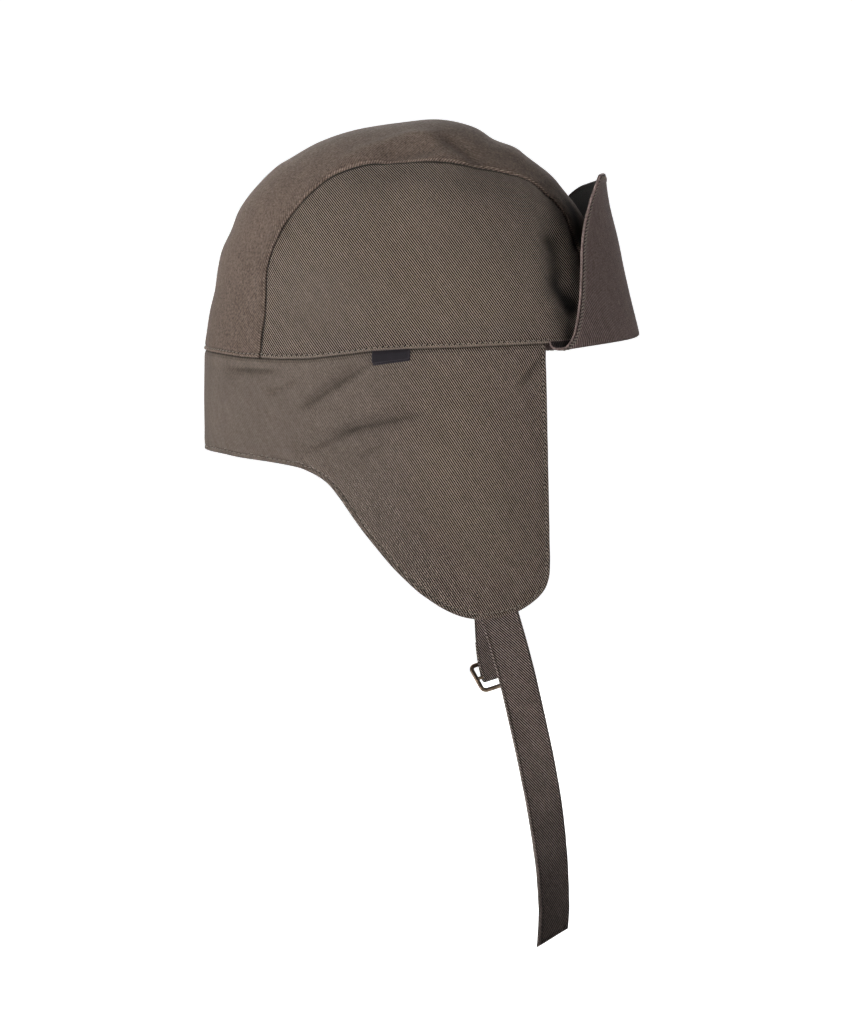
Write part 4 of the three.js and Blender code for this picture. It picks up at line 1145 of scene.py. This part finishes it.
def make_short_strap():
    """Down to the buckle's bar, round it and back up behind itself."""
    share, sideways, start = short_guide.rows(10)
    down = start + (short_guide.total - start) * np.linspace(0, 1, 50)[None, :]
    middle, _, across, face = short_guide.frame(down)
    first = middle + across * sideways
    angles = np.radians(np.linspace(8, 172, 21))[None, :, None]
    away = -bar_face * np.cos(angles) + bar_along * np.sin(angles)
    turn = bar_middle + away * loop_radius + bar_across * sideways
    back = LOOP_TAIL * np.concatenate([np.linspace(0, 0.94, 30), [0.96, 0.98, 0.99, 0.996, 1]])[None, :]
    middle, _, across, face_up = short_guide.frame(short_guide.total - back + 0 * share)
    closing = 1 - 0.33 * np.minimum(1, back / LOOP_TAIL * 1.6)
    last = moved(middle + across * sideways, face_up, 2 * loop_radius * closing)
    points = np.concatenate([first, turn, last], axis=1)
    out = np.concatenate([-face, away + 0 * turn, face_up], axis=1)
    lengthwise = lengths_along(points, 1)
    edge = np.minimum(STRAP_WIDTH * (0.5 - np.abs(share)), lengthwise[:, -1:] - lengthwise)
    edge[:, 0] = 0
    flat = np.stack([STRAP_WIDTH * share + 0 * lengthwise, -lengthwise], -1)
    # A faint painted shade over the whole short strap
    return cloth("strap_short", points, out, STRAP_WALL, edge, flat, strap_twill, groove=0.12, wear_and_shade=edge + 1.4)


strap_long = make_long_strap()
strap_short = make_short_strap()

# ---- buckle and label


def wire(path, radius, closed, sides=20):
    """Round wire bent along a path in its own plane, with how far each point lies inside the path's bend."""
    path = np.asarray(path, float)
    along = unit(np.roll(path, -1, 0) - np.roll(path, 1, 0) if closed else np.gradient(path, axis=0))
    up = np.array([0, 0, 1.0])
    out = unit(np.cross(up, along))
    a = np.arange(sides) * 2 * math.pi / sides
    rings = path[:, None] + radius * (np.cos(a)[None, :, None] * out[:, None] + np.sin(a)[None, :, None] * up)
    count = len(path)
    ids = np.arange(count * sides).reshape(count, sides)
    if closed:
        ids = np.vstack([ids, ids[:1]])
    ids = np.hstack([ids, ids[:, :1]])
    faces = grid_faces(ids)
    if not closed:
        cap = np.array([(i, i + 1, sides - 2 - i, sides - 1 - i) for i in range(sides // 2 - 1)])
        faces = np.vstack([faces, cap, cap[:, ::-1] + (count - 1) * sides])
    inward = np.repeat((1 + np.cos(a))[None, :] * radius, count, 0).ravel()
    return rings.reshape(-1, 3), facing_out(rings.reshape(-1, 3), faces), inward


def make_buckle():
    """Rounded frame of wire with one bar across its middle, leaning away from the strap."""
    path = []
    for sx, sy, start in ((1, 1, 0), (-1, 1, 90), (-1, -1, 180), (1, -1, 270)):
        for angle in np.radians(np.linspace(start, start + 90, 10)):
            path.append((sx * (BUCKLE_WIDTH / 2 - BUCKLE_CORNER) + BUCKLE_CORNER * math.cos(angle),
                         sy * (BUCKLE_HEIGHT / 2 - BUCKLE_CORNER) + BUCKLE_CORNER * math.sin(angle), 0))
    ring_points, ring_faces, ring_in = wire(path, BUCKLE_WIRE / 2, True)
    bar_path = np.column_stack([np.linspace(-BUCKLE_WIDTH / 2, BUCKLE_WIDTH / 2, 9), np.zeros(9), np.zeros(9)])
    bar_points, bar_faces, bar_in = wire(bar_path, BUCKLE_BAR_WIRE / 2, False)
    points = np.vstack([ring_points, bar_points])
    faces = np.vstack([ring_faces, bar_faces + len(ring_points)])
    up = -bar_along * math.cos(BUCKLE_TILT) + bar_face * math.sin(BUCKLE_TILT)
    out = unit(np.cross(bar_across, up))
    placed = points @ np.stack([bar_across, np.cross(out, bar_across), out]) + bar_middle
    return new_piece("buckle", placed, faces, aged_brass, np.concatenate([ring_in, bar_in]))


buckle = make_buckle()


def make_label():
    """Narrow woven tape folded double and sewn into the seam; its back layer shows under the front one."""
    vertices, faces, uv, edges = [], [], [], []
    side_rows = [0, 0.06, 0.14, 0.25, 0.5]
    for layer, (drop, away, shift) in enumerate(LABEL_LAYERS):
        across = close_at_ends(side_rows, side_rows, LABEL_WIDTH, 50)
        down = close_at_ends([0, 0.2], [0, 0.02, 0.08, 0.14, 0.22, 0.35, 0.55, 0.8], drop, 18)
        u, v = np.meshgrid(across, down, indexing="ij")
        over_foot = drop * (1 - v)
        corner = LABEL_CORNER - np.sqrt(LABEL_CORNER**2 - np.maximum(0, LABEL_CORNER - over_foot) ** 2)
        x = LABEL_MIDDLE_X + shift + (LABEL_WIDTH - 2 * corner) * (u - 0.5)
        z = opening_z(x) + 0.3 - drop * v + LABEL_SLANT * (u - 0.5) * v
        out_from_seam = share_of((drop * v - 0.2) / 1.4)
        lift = -0.7 + (away + 0.7) * out_from_seam**0.7 + (0.3 + 0.15 * np.sin(5 * u + layer)) * v**2
        points = band_point(length_at(x), z, -1, lift)
        normals = grid_normals(points)
        if normals[..., 1].sum() > 0:
            normals = -normals
        edge = np.minimum(np.minimum(LABEL_WIDTH * np.minimum(u, 1 - u), over_foot), drop * v)
        layer_vertices, layer_faces, doubled = closed_wall(points, normals, LABEL_WALL, edge, LABEL_WALL / 2)
        faces.append(layer_faces + sum(len(v) for v in vertices))
        vertices.append(layer_vertices)
        uv.append(both_sides(np.stack([x, z], -1), doubled))
        edges.append(both_sides(edge, doubled))
    return new_piece("label", np.vstack(vertices), np.vstack(faces), label_weave, np.vstack(edges), np.vstack(uv))


label = make_label()

# ---- stitches


def make_stitch_tree():
    """A row of stitches along a line, each lying on the cloth, with a dark bead between them that paints the shade
    of a needle hole.
    """
    sizes = floats({"Pitch": 0.0025, "Length": 0.0019, "Thread": 0.0006, "Hole": 0.0005, "Hole Length": 0.0006,
                    "Unevenness": 0.12, "Slant": 0.12})
    inputs = [("Line", "Geometry", None), *sizes, ("Seed", "Int", 1), ("Thread Finish", "Material", None),
              ("Hole Finish", "Material", None)]
    tree, given, out = new_group("row_of_stitches", "GeometryNodeTree", inputs, [("Stitches", "Geometry", None)])
    tree.is_modifier = True
    line, pitch, length, thread, hole, hole_length, unevenness, slant, seed, thread_finish, hole_shade = given
    curve = output(tree, "GeometryNodeMeshToCurve", {"Mesh": line})
    points = output(tree, "GeometryNodeResampleCurve", {"Curve": curve, "Length": pitch}, mode="LENGTH")
    tangent = output(tree, "GeometryNodeInputTangent")
    facing = output(tree, "GeometryNodeInputNamedAttribute", {"Name": "facing"}, data_type="FLOAT_VECTOR")
    slanted = output(tree, "ShaderNodeVectorRotate", {"Vector": tangent, "Axis": facing, "Angle": slant})
    turn = output(tree, "FunctionNodeAxesToRotation", {"Primary Axis": facing, "Secondary Axis": slanted},
                  primary_axis="Z", secondary_axis="X")
    bead = output(tree, "GeometryNodeMeshUVSphere", {"Segments": 8, "Rings": 6, "Radius": 0.5})

    def uneven(size, salt):
        """A size that differs a little from stitch to stitch."""
        values = {"Seed": seed + salt, 2: 1.0 - unevenness, 3: 1.0 + unevenness}
        return size * output(tree, "FunctionNodeRandomValue", values, 1, data_type="FLOAT")

    def beads(at, size, finish):
        scale = output(tree, "ShaderNodeCombineXYZ", size)
        made = output(tree, "GeometryNodeInstanceOnPoints",
                      {"Points": at, "Instance": bead, "Rotation": turn, "Scale": scale})
        for kind in ("GeometryNodeRealizeInstances", "GeometryNodeSetShadeSmooth"):
            made = output(tree, kind, {"Geometry": made})
        return output(tree, "GeometryNodeSetMaterial", {"Geometry": made, "Material": finish})

    long_, thick = uneven(length, 11), uneven(thread, 23)
    stitches = beads(points, [long_, thick, thick], thread_finish)
    step = output(tree, "ShaderNodeVectorMath", {0: tangent, "Scale": pitch * 0.5}, operation="SCALE")
    between = output(tree, "GeometryNodeSetPosition", {"Geometry": points, "Offset": step})
    # Needle holes as dark beads: painted shade
    holes = beads(between, [hole_length, hole, hole * 0.3], hole_shade)
    joined = tree.nodes.new("GeometryNodeJoinGeometry")
    for part in (holes, stitches):
        fill(joined, [part])
    fill(out, [Term(joined.outputs[0])])
    return tree


row_of_stitches = make_stitch_tree()


def surface_tree(*pieces):
    """Search tree over the faces of some pieces."""
    vertices, faces = [], []
    for piece in pieces:
        base = len(vertices)
        vertices.extend(v.co.copy() for v in piece.data.vertices)
        faces.extend([base + i for i in p.vertices] for p in piece.data.polygons)
    return BVHTree.FromPolygons(vertices, faces)


def stitch_row(name, line, tree, sink, **sizes):
    """A row of stitches laid on the cloth under a line of points in millimetres."""
    found = [tree.find_nearest(Vector(p))[:2] for p in np.asarray(line) * MM]
    mesh = bpy.data.meshes.new(name)
    mesh.from_pydata([tuple(spot - normal * sink * MM) for spot, normal in found],
                     [(i, i + 1) for i in range(len(found) - 1)], [])
    add_values(mesh, "facing", [normal for _, normal in found], "FLOAT_VECTOR", "vector")
    guide = add_object(name, mesh)
    modifier = guide.modifiers.new("stitches", "NODES")
    modifier.node_group = row_of_stitches
    values = {"Thread_Finish": olive_thread, "Hole_Finish": needle_hole, **sizes}
    for item in row_of_stitches.interface.items_tree:
        key = item.name.replace(" ", "_")
        if item.in_out == "INPUT" and key in values:
            modifier[item.identifier] = values[key]
    bpy.context.view_layer.update()
    made = bpy.data.meshes.new_from_object(guide.evaluated_get(bpy.context.evaluated_depsgraph_get()))
    made.name = name
    guide.modifiers.remove(modifier)
    guide.data = made
    return guide


def base_row():
    """Round the foot of the crown, just over the welt, from one end of the flap to the other."""
    length = np.linspace(0, length_at(FLAP_ROOT_X), 700)
    x, y, out_x, out_y = oval_at(length)
    half = np.column_stack([x + 0.5 * out_x, y + 0.5 * out_y, opening_z(x) + FOOT_GAP + BASE_STITCH])
    return np.vstack([half[::-1] * [1, -1, 1], half[1:]])


def band_row(inside):
    """Along the free edge of the band, from one ear's front round the nape to the other's."""
    run = unit(np.gradient(half_edge, axis=0))
    line = half_edge + inside * np.column_stack([-run[:, 1], run[:, 0]])
    line = line[(line[:, 0] >= 0) & (line[:, 1] < opening_z(BAND_FRONT_X) - 0.6)]
    right, left = (band_point(line[:, 0], line[:, 1], side, 0.5) for side in (-1, 1))
    return np.vstack([right[::-1], left])


def flap_row(inside):
    """Up one end of the flap, along its top and down the other end."""
    columns, rows = flap_outer.shape[:2]
    first = int(np.searchsorted(lengths_along(flap_outer[:, rows // 2]), inside))
    tall = lengths_along(flap_outer[columns // 2])
    top = int(np.searchsorted(tall, tall[-1] - inside)) - 1
    over = flap_outer[first:columns - first, top]
    return np.vstack([flap_outer[first, 6:top], over, flap_outer[columns - 1 - first, 6:top][::-1]])


crown_tree = surface_tree(crown_strip, side_cloth_right, side_cloth_left)
crown_base_stitches = stitch_row("crown_base_stitches", base_row(), crown_tree, 0.02, Seed=3, Pitch=0.0026,
                                 Hole=0.00095, Hole_Length=0.00095)
band_edge_stitches = stitch_row("band_edge_stitches", band_row(BAND_STITCH), surface_tree(band_cloth), 0.05,
                                Seed=5, Hole=0.0006)
flap_edge_stitches = stitch_row("flap_edge_stitches", flap_row(FLAP_STITCH), surface_tree(flap_cloth), 0.02,
                                Seed=9, Slant=-0.9, Pitch=0.0017, Length=0.0025, Thread=0.00055,
                                Hole=0.0005, Hole_Length=0.0021)

# ---- floor and light

FLOOR_Z = -0.36
LIGHT_DISTANCE = 1.5


def make_floor():
    """Pale floor that bends up into a wall behind, and shines white into the camera alone."""
    reach, back, tall, bend = 9.0, 3.0, 7.0, 1.5
    angles = np.linspace(0, math.pi / 2, 24)
    profile = [(-reach, 0.0), *((back - bend + bend * math.sin(a), bend - bend * math.cos(a)) for a in angles),
               (back, tall)]
    mesh = bpy.data.meshes.new("pale_floor")
    mesh.from_pydata([(x, y, FLOOR_Z + z) for y, z in profile for x in (-reach, reach)], [],
                     [(2 * i, 2 * i + 1, 2 * i + 3, 2 * i + 2) for i in range(len(profile) - 1)])
    material, tree, surface = new_material("pale_floor")
    fill(surface, {"Base Color": (0.5, 0.5, 0.5, 1), "Roughness": 0.9, "Emission Color": (1, 1, 1, 1),
                   "Emission Strength": output(tree, "ShaderNodeLightPath", (), "Is Camera Ray")})
    finish_mesh(mesh, material)
    return add_object("pale_floor", mesh)


floor = make_floor()


def add_area_light(name, turned, high, aim_z, size, spread, power):
    light = bpy.data.lights.new(name, "AREA")
    light.shape = "DISK"
    light.size = size
    light.spread = math.radians(spread)
    light.energy = power
    lamp = add_object(name, light)
    lamp.visible_camera = False
    turned, high = math.radians(turned), math.radians(high)
    place = (math.sin(turned) * math.cos(high), -math.cos(turned) * math.cos(high), math.sin(high))
    aim(lamp, Vector(place) * LIGHT_DISTANCE, (0, 0, aim_z))


# Turned round the hat from the camera, height over the horizon, what it is aimed at, size, spread and power
LIGHTS = [
    ("key_light", -40, 0, 0.08, 0.7, 34, 0.48),
    ("key_light_low", -40, 0, 0.0, 0.7, 24, 0.42),
    ("side_light", -70, 0, 0.0, 0.7, 24, 0.68),
    ("front_light", 50, 0, 0.08, 0.7, 34, 0.50),
    ("high_front_light", 80, 30, 0.08, 0.7, 34, 0.12),
    ("low_light", -35, -25, 0.0, 0.9, 180, 0.5),
    ("rim_light_left", -150, 45, 0.0, 0.9, 180, 5.0),
    ("rim_light_right", 120, 45, 0.0, 0.9, 180, 3.0),
    ("far_side_light", 180, 14, 0.0, 1.4, 180, 24),
]
for row in LIGHTS:
    add_area_light(*row)

world = bpy.data.worlds.new("studio")
bpy.context.scene.world = world
world.use_nodes = True
sky = world.node_tree
backdrop = sky.nodes.new("ShaderNodeBackground")
for background, strength in ((sky.nodes["Background"], 0.04), (backdrop, 1.0)):
    fill(background, [(1, 1, 1, 1), strength])
seen = output(sky, "ShaderNodeLightPath", (), "Is Camera Ray")
shades = [Term(background.outputs[0]) for background in (sky.nodes["Background"], backdrop)]
fill(sky.nodes["World Output"], {"Surface": output(sky, "ShaderNodeMixShader", [seen, *shades])})
bpy.context.scene.view_settings.view_transform = "Standard"

# ---- pieces and the part they stand for

STANDS_FOR = [
    (crown_strip, "crown_centre_panel", "crown_twill"),
    (side_cloth_right, "crown_side_panel_right", "side_twill"),
    (side_cloth_left, "crown_side_panel_left", "side_twill"),
    (band_cloth, "ear_neck_band", "side_twill"),
    (flap_cloth, "front_flap", "flap_twill"),
    (strap_long, "long_strap", "strap_twill"),
    (strap_short, "short_strap", "strap_twill"),
    (label, "label_tab", "label_weave"),
    (buckle, "slide_buckle", "buckle_metal"),
]
for piece, node, slot in STANDS_FOR:
    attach(piece, "root")
    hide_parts(node)
for piece, slot in ((crown_base_stitches, "side_twill"), (band_edge_stitches, "side_twill"),
                    (flap_edge_stitches, "flap_twill")):
    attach(piece, "root")
